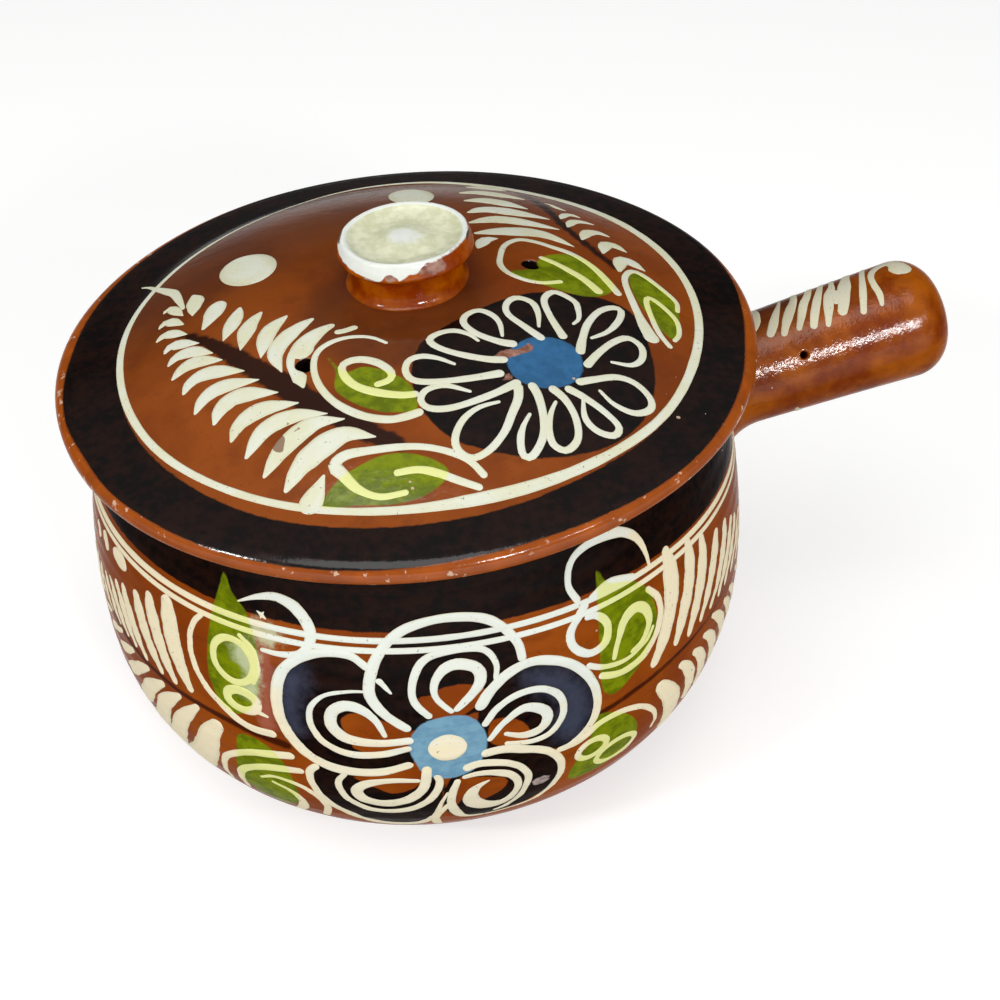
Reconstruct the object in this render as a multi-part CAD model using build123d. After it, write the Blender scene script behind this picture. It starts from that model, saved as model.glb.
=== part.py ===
from build123d import *
from math import asin, cos, degrees, radians, sin, sqrt
import os

# Lidded stick-handled pot in glazed earthenware: a bellied bowl with a hollow handle luted to its wall,
# and a loose domed lid with a dished knob luted to its crown.
# Millimetres. Origin at the centre of the base, +Z up, handle along +X.

# Bowl
base_radius = 60.0  # flat base that the pot stands on
rim_radius = 88.1  # outside of the mouth
belly_bulge = 11.3  # how far the belly stands out past the rim
belly_height = 50.3  # height of the widest point
bowl_height = 119.8  # base to the top of the rim
bowl_wall = 6.5
bowl_floor = 7.5
inner_floor_radius = 55.0  # flat part of the floor inside
rim_round = 1.9

# Lid
lid_overhang = 11.9  # how far the lip stands out past the rim
lip_thickness = 6.4
lip_round = 3.1
flange_width = 17.6  # flatter border between the lip and the dome
flange_rise = 3.2
dome_rise = 16.9  # crease to crown
lid_wall = 6.0
collar_clearance = 1.6  # play of the locating collar in the mouth
collar_wall = 5.0
collar_drop = 7.0
collar_round = 1.8
steam_vent_diameter = 5.0
steam_vent_places = ((43.5, -135.6), (37.0, -1.2))  # distance from the axis, bearing in degrees

# Knob
knob_radius = 19.0
knob_overhang = 3.1  # how far the head stands out past the stem
knob_height = 11.7  # crown of the lid to the top of the head
knob_set_off = (2.1, 1.5)  # luted on by hand, a little off the lid's axis
head_thickness = 5.6
head_round = 1.6
foot_flare = 4.4  # clay smoothed out from the stem's foot onto the dome
dish_border = 2.4
dish_depth = 2.3
button_radius = 8.5  # raised middle of the dish
button_rise = 1.4

# Handle
handle_drop = 27.0  # rim top down to the axis, where the axis meets the wall
handle_tilt = 11.4  # degrees above level
handle_length = 74.2  # wall to end, along the axis
root_radius = 16.6
grip_radius = 18.6
root_flare = 2.2  # clay smoothed out onto the wall
root_flare_length = 9.0
end_crown = 2.3  # bulge of the closed end
end_round = 11.0
handle_wall = 5.0
air_vent_diameter = 2.4
air_vent_along = 24.6  # from the wall
air_vent_bearing = 35.0  # degrees up from level, on the -Y side

belly_radius = rim_radius + belly_bulge
mouth_radius = rim_radius - bowl_wall
lid_radius = rim_radius + lid_overhang
crease_radius = lid_radius - flange_width
crease_height = bowl_height + lip_thickness + flange_rise
crown_height = crease_height + dome_rise
dome_radius = (crease_radius**2 + dome_rise**2) / (2 * dome_rise)
dome_centre = crown_height - dome_radius
collar_radius = mouth_radius - collar_clearance
stem_radius = knob_radius - knob_overhang


def bowl_body(foot_radius, foot_height, belly, mouth):
    """Solid of revolution: a quarter ellipse from the foot to the belly, then an arc in to the mouth."""
    spread = belly - foot_radius
    lower = EllipticalCenterArc((foot_radius, belly_height), spread, belly_height - foot_height, -90)
    upper = TangentArc((belly, belly_height), (mouth, bowl_height), tangent=(0, 1))
    outline = [
        Line((0, foot_height), (foot_radius, foot_height)),
        lower,
        upper,
        Line((mouth, bowl_height), (0, bowl_height)),
        Line((0, bowl_height), (0, foot_height)),
    ]
    return revolve(Plane.XZ * make_face(outline), Axis.Z)


def wall_radius_at(height):
    """Outer radius of the bowl's upper wall, which is an arc that stands upright at the belly."""
    arc_radius = ((bowl_height - belly_height) ** 2 + belly_bulge**2) / (2 * belly_bulge)
    return belly_radius - arc_radius + sqrt(arc_radius**2 - (height - belly_height) ** 2)


def make_bowl(outer):
    inner = bowl_body(inner_floor_radius, bowl_floor, belly_radius - bowl_wall, mouth_radius)
    bowl = outer - inner
    rim_edges = bowl.edges().group_by(Axis.Z)[-1]
    return fillet(rim_edges, rim_round)


def dome_arc(radius, reach):
    """Arc of the dome's half section, from the distance reach to the axis, on a sphere of this radius."""
    spread = degrees(asin(reach / radius))
    return CenterArc((0, dome_centre), radius, 90 - spread, spread)


def make_lid():
    """Dome, flatter border, round lip, flat seat on the rim and a collar that drops into the mouth."""
    outer_dome = dome_arc(dome_radius, crease_radius)
    inner_dome = dome_arc(dome_radius - lid_wall, collar_radius - collar_wall)
    collar_foot = bowl_height - collar_drop
    corners = [
        outer_dome @ 0,
        (lid_radius, bowl_height + lip_thickness),
        (lid_radius, bowl_height),
        (collar_radius, bowl_height),
        (collar_radius, collar_foot),
        (collar_radius - collar_wall, collar_foot),
        inner_dome @ 0,
    ]
    section = make_face([outer_dome, inner_dome, Polyline(*corners), Line(inner_dome @ 1, outer_dome @ 1)])
    section = fillet(section.vertices().sort_by(Axis.X)[-2:], lip_round)
    section = fillet(section.vertices().sort_by(Axis.Y)[:2], collar_round)
    lid = revolve(Plane.XZ * section, Axis.Z)
    for distance, bearing in steam_vent_places:
        lean = degrees(asin(distance / dome_radius))
        drill = Rot(0, lean, 0) * Pos(0, 0, dome_radius) * Cylinder(steam_vent_diameter / 2, 4 * lid_wall)
        lid -= Pos(0, 0, dome_centre) * Rot(0, 0, bearing) * drill
    return lid


def make_knob():
    """Dished head on a short stem, with its foot cut to the dome that it sits on."""
    top = crown_height + knob_height
    head_foot = top - head_thickness
    flare = stem_radius + foot_flare
    foot = dome_centre + sqrt(dome_radius**2 - flare**2)
    buried = crown_height - lid_wall
    dish_edge = (knob_radius - dish_border, top)
    dish_floor = (button_radius, top - dish_depth)
    stem = TangentArc((stem_radius, head_foot), (flare, foot), tangent=(0, -1))
    outline = [
        Line((0, buried), (flare, buried)),
        Line((flare, buried), (flare, foot)),
        stem,
        Line((stem_radius, head_foot), (knob_radius, head_foot)),
        Line((knob_radius, head_foot), (knob_radius, top)),
        Line((knob_radius, top), dish_edge),
        TangentArc(dish_floor, dish_edge, tangent=(1, 0)),
        Spline(dish_floor, (0, top - dish_depth + button_rise), tangents=((-1, 0), (-1, 0))),
        Line((0, top - dish_depth + button_rise), (0, buried)),
    ]
    section = make_face(outline)
    head_corners = section.vertices().sort_by_distance((knob_radius, top - head_thickness / 2))[:2]
    section = fillet(head_corners, head_round)
    knob = Pos(*knob_set_off) * revolve(Plane.XZ * section, Axis.Z)
    return knob - Pos(0, 0, dome_centre) * Sphere(dome_radius)


def handle_body(thinner, start):
    """Round bar about the local X axis, all surfaces set in by thinner: flared root, thicker grip, closed end."""
    end = handle_length - thinner
    shoulder = handle_length - end_crown - thinner
    root = root_radius - thinner
    grip = grip_radius - thinner
    flare = root + root_flare
    outline = [
        Line((start, 0), (start, flare)),
        Line((start, flare), (0, flare)),
        Spline((0, flare), (root_flare_length, root), tangents=((1, -1), (1, 0))),
        Line((root_flare_length, root), (shoulder, grip)),
        TangentArc((end, 0), (shoulder, grip), tangent=(0, 1)),
        Line((end, 0), (start, 0)),
    ]
    section = make_face(outline)
    corner = section.vertices().sort_by_distance((shoulder, grip))[0]
    return revolve(fillet(corner, end_round - thinner), Axis.X)


def make_handle(bowl_outside):
    """Hollow bar with an air vent, cut to a saddle that fits the bowl's wall."""
    root_height = bowl_height - handle_drop
    place = Pos(wall_radius_at(root_height), 0, root_height) * Rot(0, -handle_tilt, 0)
    buried = -base_radius / 2
    vent_middle = root_radius * Vector(0, -cos(radians(air_vent_bearing)), sin(radians(air_vent_bearing)))
    vent_plane = Plane(vent_middle + Vector(air_vent_along, 0, 0), z_dir=vent_middle)
    bar = handle_body(0, buried) - handle_body(handle_wall, buried)
    bar -= vent_plane * Cylinder(air_vent_diameter / 2, 3 * handle_wall)
    return place * bar - bowl_outside


bowl_outside = bowl_body(base_radius, 0, belly_radius, rim_radius)
parts = {
    "bowl": make_bowl(bowl_outside),
    "handle": make_handle(bowl_outside),
    "lid": make_lid(),
    "lid_knob": make_knob(),
}

os.makedirs("parts", exist_ok=True)
for name, solid in parts.items():
    export_step(solid, f"parts/{name}.step")
    print(name, round(solid.volume), solid.bounding_box().size)
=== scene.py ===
import math

import bpy
import numpy as np
from mathutils import Matrix, Vector


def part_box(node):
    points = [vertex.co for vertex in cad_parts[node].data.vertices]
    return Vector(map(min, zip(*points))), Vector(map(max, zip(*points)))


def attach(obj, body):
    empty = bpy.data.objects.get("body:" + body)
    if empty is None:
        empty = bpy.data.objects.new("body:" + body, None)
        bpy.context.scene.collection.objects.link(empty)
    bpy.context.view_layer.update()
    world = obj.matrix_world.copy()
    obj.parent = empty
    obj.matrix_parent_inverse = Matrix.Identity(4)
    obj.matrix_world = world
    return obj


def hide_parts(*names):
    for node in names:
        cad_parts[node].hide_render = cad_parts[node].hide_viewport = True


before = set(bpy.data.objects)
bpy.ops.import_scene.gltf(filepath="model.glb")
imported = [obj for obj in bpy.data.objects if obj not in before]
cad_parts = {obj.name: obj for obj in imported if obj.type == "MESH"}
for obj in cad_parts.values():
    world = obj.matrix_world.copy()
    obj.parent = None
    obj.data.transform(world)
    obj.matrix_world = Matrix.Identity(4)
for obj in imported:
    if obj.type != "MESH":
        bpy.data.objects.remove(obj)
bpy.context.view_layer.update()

# Lidded stick-handled pot, slip-painted earthenware under a clear glaze.
# All lengths below are millimetres, turned to metres when a mesh is written.
dice = np.random.default_rng(7)  # one seeded source for every hand-made unevenness
far = -9.0  # signed distance that stands for well outside a painted shape


# Small helpers

def corner(node, which):
    return np.array(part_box(node)[which]) * 1000


def linear(hexColour):
    parts = [int(hexColour[i:i + 2], 16) / 255 for i in (1, 3, 5)]
    return tuple(c / 12.92 if c <= 0.04045 else ((c + 0.055) / 1.055) ** 2.4 for c in parts) + (1.0,)


def smooth(low, high, x):
    t = np.clip((x - low) / (high - low), 0, 1)
    return t * t * (3 - 2 * t)


# Values that listed pairs (degrees, value) give all the way round, softened over some degrees
def around(pairs, degrees, soften=10):
    bearings, values = np.array(pairs, float).T
    ring = np.arange(720) / 2
    steps = np.interp(ring, bearings % 360, values, period=360)
    half = int(soften * 2)
    weights = np.hanning(2 * half + 3)[1:-1]
    padded = np.concatenate([steps[-half:], steps, steps[:half]])
    level = np.convolve(padded, weights / weights.sum(), "valid")
    return np.interp(np.asarray(degrees) % 360, ring, level, period=360)


# Smooth line through given points: a Catmull-Rom curve, evenly stepped by length
def brushLine(points, step, closed=False):
    p = np.array(points, float)
    if closed:
        p = np.concatenate([p[-1:], p, p[:2]])
    else:
        p = np.concatenate([2 * p[:1] - p[1:2], p, 2 * p[-1:] - p[-2:-1]])
    t = np.linspace(0, 1, 24, endpoint=False)[None, :, None]
    a, b, c, d = (p[i:len(p) - 3 + i, None, :] for i in range(4))
    curve = 0.5 * (2 * b + (c - a) * t + (2 * a - 5 * b + 4 * c - d) * t**2 + (3 * b - a - 3 * c + d) * t**3)
    curve = np.concatenate([curve.reshape(-1, p.shape[1]), p[-2:-1]])
    run = np.concatenate([[0], np.cumsum(np.linalg.norm(np.diff(curve, axis=0), axis=1))])
    count = max(int(run[-1] / step), 6)
    even = np.linspace(0, run[-1], count)
    return np.stack([np.interp(even, run, curve[:, k]) for k in range(p.shape[1])], 1), run[-1]


# Distance to a line of segments, for many points at once
def lineDistance(points, line):
    a, b = line[:-1], line[1:]
    ab = b - a
    ap = points[:, None, :] - a[None]
    t = np.clip((ap * ab).sum(2) / np.maximum((ab * ab).sum(1), 1e-9), 0, 1)
    gap = np.linalg.norm(ap - t[..., None] * ab, axis=2)
    best = gap.argmin(1)
    rows = np.arange(len(points))
    return gap[rows, best], (best + t[rows, best]) / len(a)


# Which points lie close enough to a line to need their distance worked out
def nearTo(points, line):
    return np.flatnonzero(((points > line.min(0) + far) & (points < line.max(0) - far)).all(1))


# Signed distance to a closed outline, positive inside; points far from it keep the far value
def shapeDistance(points, outline):
    line = brushLine(outline, 0.8, closed=True)[0]
    result = np.full(len(points), far)
    near = nearTo(points, line)
    q = points[near]
    gap, _ = lineDistance(q, line)
    a, b = line[:-1], line[1:]
    rise = np.where(a[:, 1] == b[:, 1], 1e-9, b[:, 1] - a[:, 1])
    spans = (a[None, :, 1] > q[:, None, 1]) != (b[None, :, 1] > q[:, None, 1])
    cross = a[:, 0] + (q[:, None, 1] - a[:, 1]) / rise * (b[:, 0] - a[:, 0])
    inside = (spans & (q[:, None, 0] < cross)).sum(1) % 2 == 1
    result[near] = np.clip(np.where(inside, gap, -gap), far, -far)
    return result


def shapesDistance(points, outlines):
    result = np.full(len(points), far)
    for outline in outlines:
        result = np.maximum(result, shapeDistance(points, outline))
    return result


# Signed distance to a brushed line with a width that changes along it
def washDistance(points, line, widths):
    path = brushLine(line, 1.0)[0]
    result = np.full(len(points), far)
    near = nearTo(points, path)
    gap, along = lineDistance(points[near], path)
    reach = np.interp(along, np.linspace(0, 1, len(widths)), widths) / 2
    result[near] = np.clip(reach - gap, far, -far)
    return result


def newObject(name, vertices, faces, layers=None):
    mesh = bpy.data.meshes.new(name)
    mesh.from_pydata((vertices / 1000).tolist(), [], faces)
    mesh.polygons.foreach_set("use_smooth", np.ones(len(mesh.polygons), bool))
    piece = bpy.data.objects.new(name, mesh)
    bpy.context.scene.collection.objects.link(piece)
    addLayers(piece, layers or {})
    return piece


def addLayers(piece, layers):
    for name, values in layers.items():
        layer = piece.data.attributes.new(name, "FLOAT", "POINT")
        layer.data.foreach_set("value", np.asarray(values, np.float32))


def vertexPlaces(piece):
    flat = np.empty(len(piece.data.vertices) * 3)
    piece.data.vertices.foreach_get("co", flat)
    return flat.reshape(-1, 3) * 1000


# Faces of rings joined in order, with a pole before the first ring and one after the last
def ringFaces(rings, columns):
    step = np.arange(columns)
    after = (step + 1) % columns
    base = 1 + np.arange(rings - 1)[:, None] * columns
    corners = [base + step, base + after, base + columns + after, base + columns + step]
    quads = np.stack(corners, 2).reshape(-1, 4)
    last = 1 + (rings - 1) * columns
    start = np.stack([np.zeros(columns, int), 1 + after, 1 + step], 1)
    end = np.stack([np.full(columns, last + columns), last + step, last + after], 1)
    return quads.tolist() + start.tolist() + end.tolist()


# Closed shell turned from a half section: section rows (distance, height), bearings round the axis.
# bend(x, y, z, distance, bearing) may then push the points about. The first and last rows are the poles.
def turnedShell(name, section, columns, bend):
    bearing = np.linspace(0, 2 * np.pi, columns, endpoint=False)
    distance, height = section[1:-1, 0][:, None], section[1:-1, 1][:, None]
    x, y = distance * np.cos(bearing), distance * np.sin(bearing)
    rings = np.stack(bend(x, y, height + 0 * x, distance + 0 * x, bearing + 0 * x), -1).reshape(-1, 3)
    ends = []
    for row in (section[0], section[-1]):
        zero = np.zeros((1, 1))
        ends.append(np.stack(bend(zero, zero, zero + row[1], zero, zero), -1).reshape(1, 3))
    vertices = np.concatenate([ends[0], rings, ends[1]])
    return newObject(name, vertices, ringFaces(len(section) - 2, columns))


# Points of a circular arc in the half section, angles in degrees from the outward direction
def arc(centre, radius, start, end, count):
    a = np.radians(np.linspace(start, end, count))
    return np.stack([centre[0] + radius * np.cos(a), centre[1] + radius * np.sin(a)], 1)


def straight(a, b, count):
    return np.linspace(a, b, count)


# Boolean cut, applied at once, so that a hole is a real hole in the mesh
def pierce(piece, cutter):
    cut = piece.modifiers.new("vent", "BOOLEAN")
    cut.operation = "DIFFERENCE"
    cut.solver = "EXACT"
    cut.object = cutter
    view = bpy.context.evaluated_depsgraph_get()
    whole = piece.data
    piece.data = bpy.data.meshes.new_from_object(piece.evaluated_get(view))
    piece.modifiers.clear()
    piece.data.name = piece.name
    bpy.data.meshes.remove(whole)
    bpy.data.objects.remove(cutter)
    piece.data.set_sharp_from_angle(angle=math.radians(50))


# Trumpet-shaped cutter along an axis: straight hole that opens in a soft lip at the skin
def ventCutter(centre, axis, radius, lip, depth):
    bore, mouth = np.linspace(-depth, -lip, 4), np.linspace(-0.9 * lip, 2 * lip, 9)
    along = np.concatenate([[-depth, -depth], bore, mouth])
    flare = np.where(along > -lip, lip * (1 - np.sqrt(np.clip(1 - (along / lip + 1) ** 2, 0, 1))), 0)
    flare = np.where(along > 0, lip + along, flare)
    section = np.stack([radius + flare, along], 1)
    section[0, 0] = 0
    section = np.concatenate([section, [[0, along[-1]]]])
    turn = np.array(Vector(axis).to_track_quat("Z", "Y").to_matrix())

    def lay(x, y, z, distance, bearing):
        p = np.stack([x, y, z], -1) @ turn.T + np.array(centre)
        return p[..., 0], p[..., 1], p[..., 2]

    return turnedShell("ventCutter", section, 40, lay)


# Shapes shared by the pieces

lean = 0.0205  # the lid sits a little crooked: this much higher for each mm towards the handle
bowl = {
    "rimTop": corner("bowl", 1)[2],
    "bellyRadius": corner("bowl", 1)[1],
    "bellyHeight": 50.3,
    "baseRadius": 60.0,
    "rimRadius": 88.1,
    "wall": 6.5,
    "floor": 7.5,
    "innerFloorRadius": 55.0,
    "rimRound": 1.9,
    "crookedFrom": 80.0,  # below this height the bowl stands true
    "throwingRing": 0.07,  # height of the finger ridges left by the wheel
    "columns": 500,
}
lid = {
    "radius": corner("lid", 1)[0],
    "crown": corner("lid", 1)[2],
    "creaseRadius": 82.4,
    "domeRise": 16.9,
    "flangeDrop": 3.2,
    "crownSink": 2.2,  # the crown is pressed a little flat where the knob was luted on
    "lipReach": 5.0,  # the lip's upper round is wider than it is high
    "lipFall": 3.4,
    "lipRound": 3.1,
    "wall": 6.0,
    "collarRadius": 80.0,
    "collarWall": 5.0,
    "collarFoot": corner("lid", 0)[2],
    "collarRound": 1.8,
    "ventRadius": 2.5,
    "ventLip": 0.9,
    "vents": ((43.5, -135.6), (37.0, -1.2)),  # distance, bearing
    "columns": 440,
}
lid["domeRadius"] = (lid["creaseRadius"] ** 2 + lid["domeRise"] ** 2) / (2 * lid["domeRise"])
lid["domeCentre"] = lid["crown"] - lid["domeRadius"]


# Outer radius of the bowl: an arc above the belly, a quarter ellipse below it
def wallRadius(z):
    rise = bowl["rimTop"] - bowl["bellyHeight"]
    bulge = bowl["bellyRadius"] - bowl["rimRadius"]
    bend = (rise**2 + bulge**2) / (2 * bulge)
    above = bowl["bellyRadius"] - bend + np.sqrt(bend**2 - np.clip(z - bowl["bellyHeight"], 0, rise) ** 2)
    drop = np.clip((bowl["bellyHeight"] - z) / bowl["bellyHeight"], 0, 1)
    below = bowl["baseRadius"] + (bowl["bellyRadius"] - bowl["baseRadius"]) * np.sqrt(1 - drop**2)
    return np.where(z > bowl["bellyHeight"], above, below)


# Outer meridian, counted in mm down the wall from just under the rim's round
meridianTop = bowl["rimTop"] - 0.8
quarter = np.linspace(0, np.pi / 2, 700)[1:]
meridianZ = np.concatenate([
    np.linspace(meridianTop, bowl["bellyHeight"], 700),
    bowl["bellyHeight"] * (1 - np.sin(quarter)),
])
meridianR = wallRadius(meridianZ)
meridianRun = np.concatenate([[0], np.cumsum(np.hypot(np.diff(meridianZ), np.diff(meridianR)))])
girth = 97.0  # places round the wall are written as mm at this radius


# How far the crooked rim lifts a point of the bowl
def crooked(x, z):
    return lean * x * smooth(bowl["crookedFrom"], bowl["rimTop"], z)


# Finger ridges and slow unevenness of the thrown wall
def wallPush(z, bearing):
    ridge = np.sin(z / 0.95 + 0.9 * np.sin(bearing)) + 0.6 * np.sin(z / 0.41 + bearing)
    uneven = 0.16 * np.sin(2 * bearing + 0.6) + 0.1 * np.sin(3 * bearing + 2.1 + z / 60)
    return (bowl["throwingRing"] * ridge + uneven) * smooth(4, 14, z)


# Point of the outer wall for mm round and mm down, set on the crooked wall where the eye reads it
def wallPoint(place):
    angle = place[..., 0] / girth
    down = place[..., 1]
    z = np.interp(down, meridianRun, meridianZ)
    x = np.interp(down, meridianRun, meridianR) * np.cos(angle)
    down = down + crooked(x, z)
    z = np.interp(down, meridianRun, meridianZ)
    r = np.interp(down, meridianRun, meridianR) + wallPush(z, angle)
    x, y = r * np.cos(angle), r * np.sin(angle)
    return np.stack([x, y, z + crooked(x, z)], -1)


# Height of the lid's upper skin: dome, soft crease, flatter border
def lidHeight(r):
    fine = np.linspace(0, lid["radius"], 1601)
    crease = lid["domeCentre"] + math.sqrt(lid["domeRadius"] ** 2 - lid["creaseRadius"] ** 2)
    dome = lid["domeCentre"] + np.sqrt(lid["domeRadius"] ** 2 - np.minimum(fine, lid["creaseRadius"]) ** 2)
    share = np.clip((fine - lid["creaseRadius"]) / (lid["radius"] - lid["creaseRadius"]), 0, 1)
    z = np.where(fine < lid["creaseRadius"], dome, crease - lid["flangeDrop"] * share)
    weights = np.hanning(83)[1:-1]  # about 5 mm of softening at the crease
    soft = np.convolve(np.pad(z, 40, "reflect", reflect_type="odd"), weights / weights.sum(), "valid")
    soft[:60] = z[:60]
    soft -= lid["crownSink"] * smooth(34, 14, fine)
    return np.interp(r, fine, soft)


def lidPoint(place):
    x, y = place[..., 0], place[..., 1]
    return np.stack([x, y, lidHeight(np.hypot(x, y)) + lean * x], -1)


def outward(surface, place, step=0.4):
    du = surface(place + np.array([step, 0])) - surface(place - np.array([step, 0]))
    dv = surface(place + np.array([0, step])) - surface(place - np.array([0, step]))
    n = np.cross(du, dv)
    return n / np.maximum(np.linalg.norm(n, axis=-1, keepdims=True), 1e-9)


# Brush strokes of slip. Each stroke is (widths along it, points that the brush passes through, kind) and
# becomes a closed, very low lens: centre line by Catmull-Rom, width by interpolation, round ends, edges sunk
# in the skin below. A ring closes on itself, an oval is a dab with an elliptic outline, a line is the rest.
slip = {
    "step": 1.1, "fineStep": 0.2, "ovalRings": 40,
    "thickness": 0.13, "sunk": 0.3, "edge": 0.05, "waver": 0.035,
}
acrossSteps = np.array([-1, -0.93, -0.75, -0.4, 0, 0.4, 0.75, 0.93, 1])


def strokeTube(surface, stroke, flip):
    widths, points = stroke[:2]
    kind = stroke[2] if len(stroke) > 2 else "line"
    closed = kind == "ring"
    fine, length = brushLine(points, slip["fineStep"], closed)
    run = np.linspace(0, length, len(fine))
    widths = np.asarray(widths, float)
    stops = np.linspace(0, length, max(int(length / slip["step"]), 6))
    knots = np.linspace(0, length, int(length / 4) + 3)
    waver = dice.normal(0, slip["waver"], len(knots))  # the hand's small unevenness
    unsteady = 1 + np.interp(stops, knots, waver)
    if kind == "oval":
        stops = length / 2 * (1 - np.cos(np.linspace(0.08, np.pi - 0.08, slip["ovalRings"])))
        half = widths[0] / 2 * np.sqrt(1 - (2 * stops / length - 1) ** 2)
    elif closed:
        stops = stops[:-1]
        spread = np.linspace(0, length, len(widths), endpoint=False)
        half = np.interp(stops, spread, widths, period=length) / 2
        half = half * (1 + (unsteady[:-1] - 1) * np.sin(np.pi * stops / length) ** 0.5)
    else:
        ends = 1 - np.cos(np.radians((0, 14, 28, 42, 56, 70, 84)))  # extra rings that turn the ends round
        first, last = np.maximum(widths[[0, -1]] / 2, 0.15)
        even = stops
        stops = np.unique(np.concatenate([stops, first * ends, length - last * ends]).clip(0, length))
        spread = np.linspace(0, length, len(widths))
        half = np.interp(stops, spread, widths) / 2 * np.interp(stops, even, unsteady)
        for gap, radius in ((stops, first), (length - stops, last)):
            half = half * np.sqrt(np.clip(1 - np.clip(1 - gap / radius, 0, 1) ** 2, 0.004, 1))

    def along(where):
        return np.stack([np.interp(where, run, fine[:, k]) for k in range(2)], 1)

    line = along(stops)
    tangent = along(np.minimum(stops + 0.5, length)) - along(np.maximum(stops - 0.5, 0))
    tangent /= np.maximum(np.linalg.norm(tangent, axis=1, keepdims=True), 1e-9)
    side = np.stack([-tangent[:, 1], tangent[:, 0]], 1)
    k = acrossSteps
    top = line[:, None] + side[:, None] * (half[:, None] * k)[..., None]
    lens = slip["thickness"] * np.clip(half, 0.2, 1)[:, None] ** 0.5 * (1 - k**4) ** 0.5
    lens = lens - slip["edge"] * (abs(k) > 0.99)
    under = top[:, ::-1][:, 1:-1:3]
    place = np.concatenate([top, under], 1)
    lift = np.concatenate([lens, np.full(under.shape[:2], -slip["sunk"])], 1)
    sign = -1 if flip else 1
    solid = surface(place) + sign * outward(surface, place) * lift[..., None]
    count, loop = solid.shape[:2]
    index = np.arange(count * loop).reshape(count, loop)
    nextRing = np.roll(index, -1, 0) if closed else index[1:]
    ring = index if closed else index[:-1]
    faces = np.stack([ring, np.roll(ring, -1, 1), np.roll(nextRing, -1, 1), nextRing], 2)
    faces = faces.reshape(-1, 4).tolist()
    if not closed:
        faces += [index[0][::-1].tolist(), index[-1].tolist()]
    across = np.tile(np.concatenate([k, np.ones(under.shape[1])]), count)
    return solid.reshape(-1, 3), faces, across, place.reshape(-1, 2)


# One press of a loaded brush: quickly full, then drawn out to a point
def pressed(width, points):
    return tuple(width * p for p in (0.14, 0.66, 0.96, 1.0, 0.84, 0.48, 0.05)), points


def oval(centre, long, short, bearing):
    b = math.radians(bearing)
    reach = np.linspace(-long, long, 5)
    points = tuple((centre[0] + r * math.cos(b), centre[1] + r * math.sin(b)) for r in reach)
    return (2 * short,), points, "oval"


def hoop(width, centre, across, down):
    b = np.linspace(0, 2 * np.pi, 10, endpoint=False)
    return (width, width), tuple(zip(centre[0] + across * np.cos(b), centre[1] + down * np.sin(b))), "ring"


def slipStrokes(name, surface, strokes, washes, flip=False):
    vertices, faces, across, places = [], [], [], []
    total = 0
    for stroke in strokes:
        v, f, k, place = strokeTube(surface, stroke, flip)
        vertices.append(v)
        faces += [[i + total for i in face] for face in f]
        total += len(v)
        across.append(k)
        places.append(place)
    places = np.concatenate(places)
    layers = {key: shapesDistance(places, outlines) for key, outlines in washes.items()}
    piece = newObject(name, np.concatenate(vertices), faces, dict(layers, across=np.concatenate(across)))
    print(name, len(strokes), "strokes,", len(faces), "faces")
    return piece


# Materials

# One call adds a node. Inputs go by socket name or number and are links, numbers or sRGB hex colours.
def add(tree, kind, inputs=None, out=0, **settings):
    node = tree.nodes.new("ShaderNode" + kind)
    for key, value in settings.items():
        setattr(node, key, value)
    for key, value in (inputs or {}).items():
        if isinstance(value, bpy.types.NodeSocket):
            tree.links.new(value, node.inputs[key])
        else:
            node.inputs[key].default_value = linear(value) if isinstance(value, str) else value
    return node.outputs[out]


def startMaterial(name):
    material = bpy.data.materials.new(name)
    material.use_nodes = True
    tree = material.node_tree
    return material, tree, tree.nodes["Principled BSDF"], add(tree, "TexCoord", out="Object")


# A thin worn glaze is too pitted to mirror the room at a glancing angle: the gloss fades towards the outline
def wornGloss(tree, shader, glance):
    facing = add(tree, "LayerWeight", {"Blend": 0.5}, out="Facing")
    limits = {"Value": facing, "From Min": glance[0], "From Max": glance[1], "To Min": 0.5, "To Max": 0.02}
    tree.links.new(add(tree, "MapRange", limits), shader.inputs["Specular IOR Level"])


# Share of the surface under a painted layer: its signed distance in mm, ragged by a noise, over a soft edge
def covers(tree, wash, noise):
    distance = add(tree, "Attribute", out="Fac", attribute_name=wash["layer"])
    ragged = add(tree, "Math", {0: noise, 1: wash["ragged"], 2: distance}, operation="MULTIPLY_ADD")
    low, high = (wash["ragged"] / 2 + side * wash["soft"] for side in (-1, 1))
    limits = {"Value": ragged, "From Min": low, "From Max": high, "To Max": wash.get("strength", 1.0)}
    return add(tree, "MapRange", limits, interpolation_type="SMOOTHSTEP")
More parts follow.
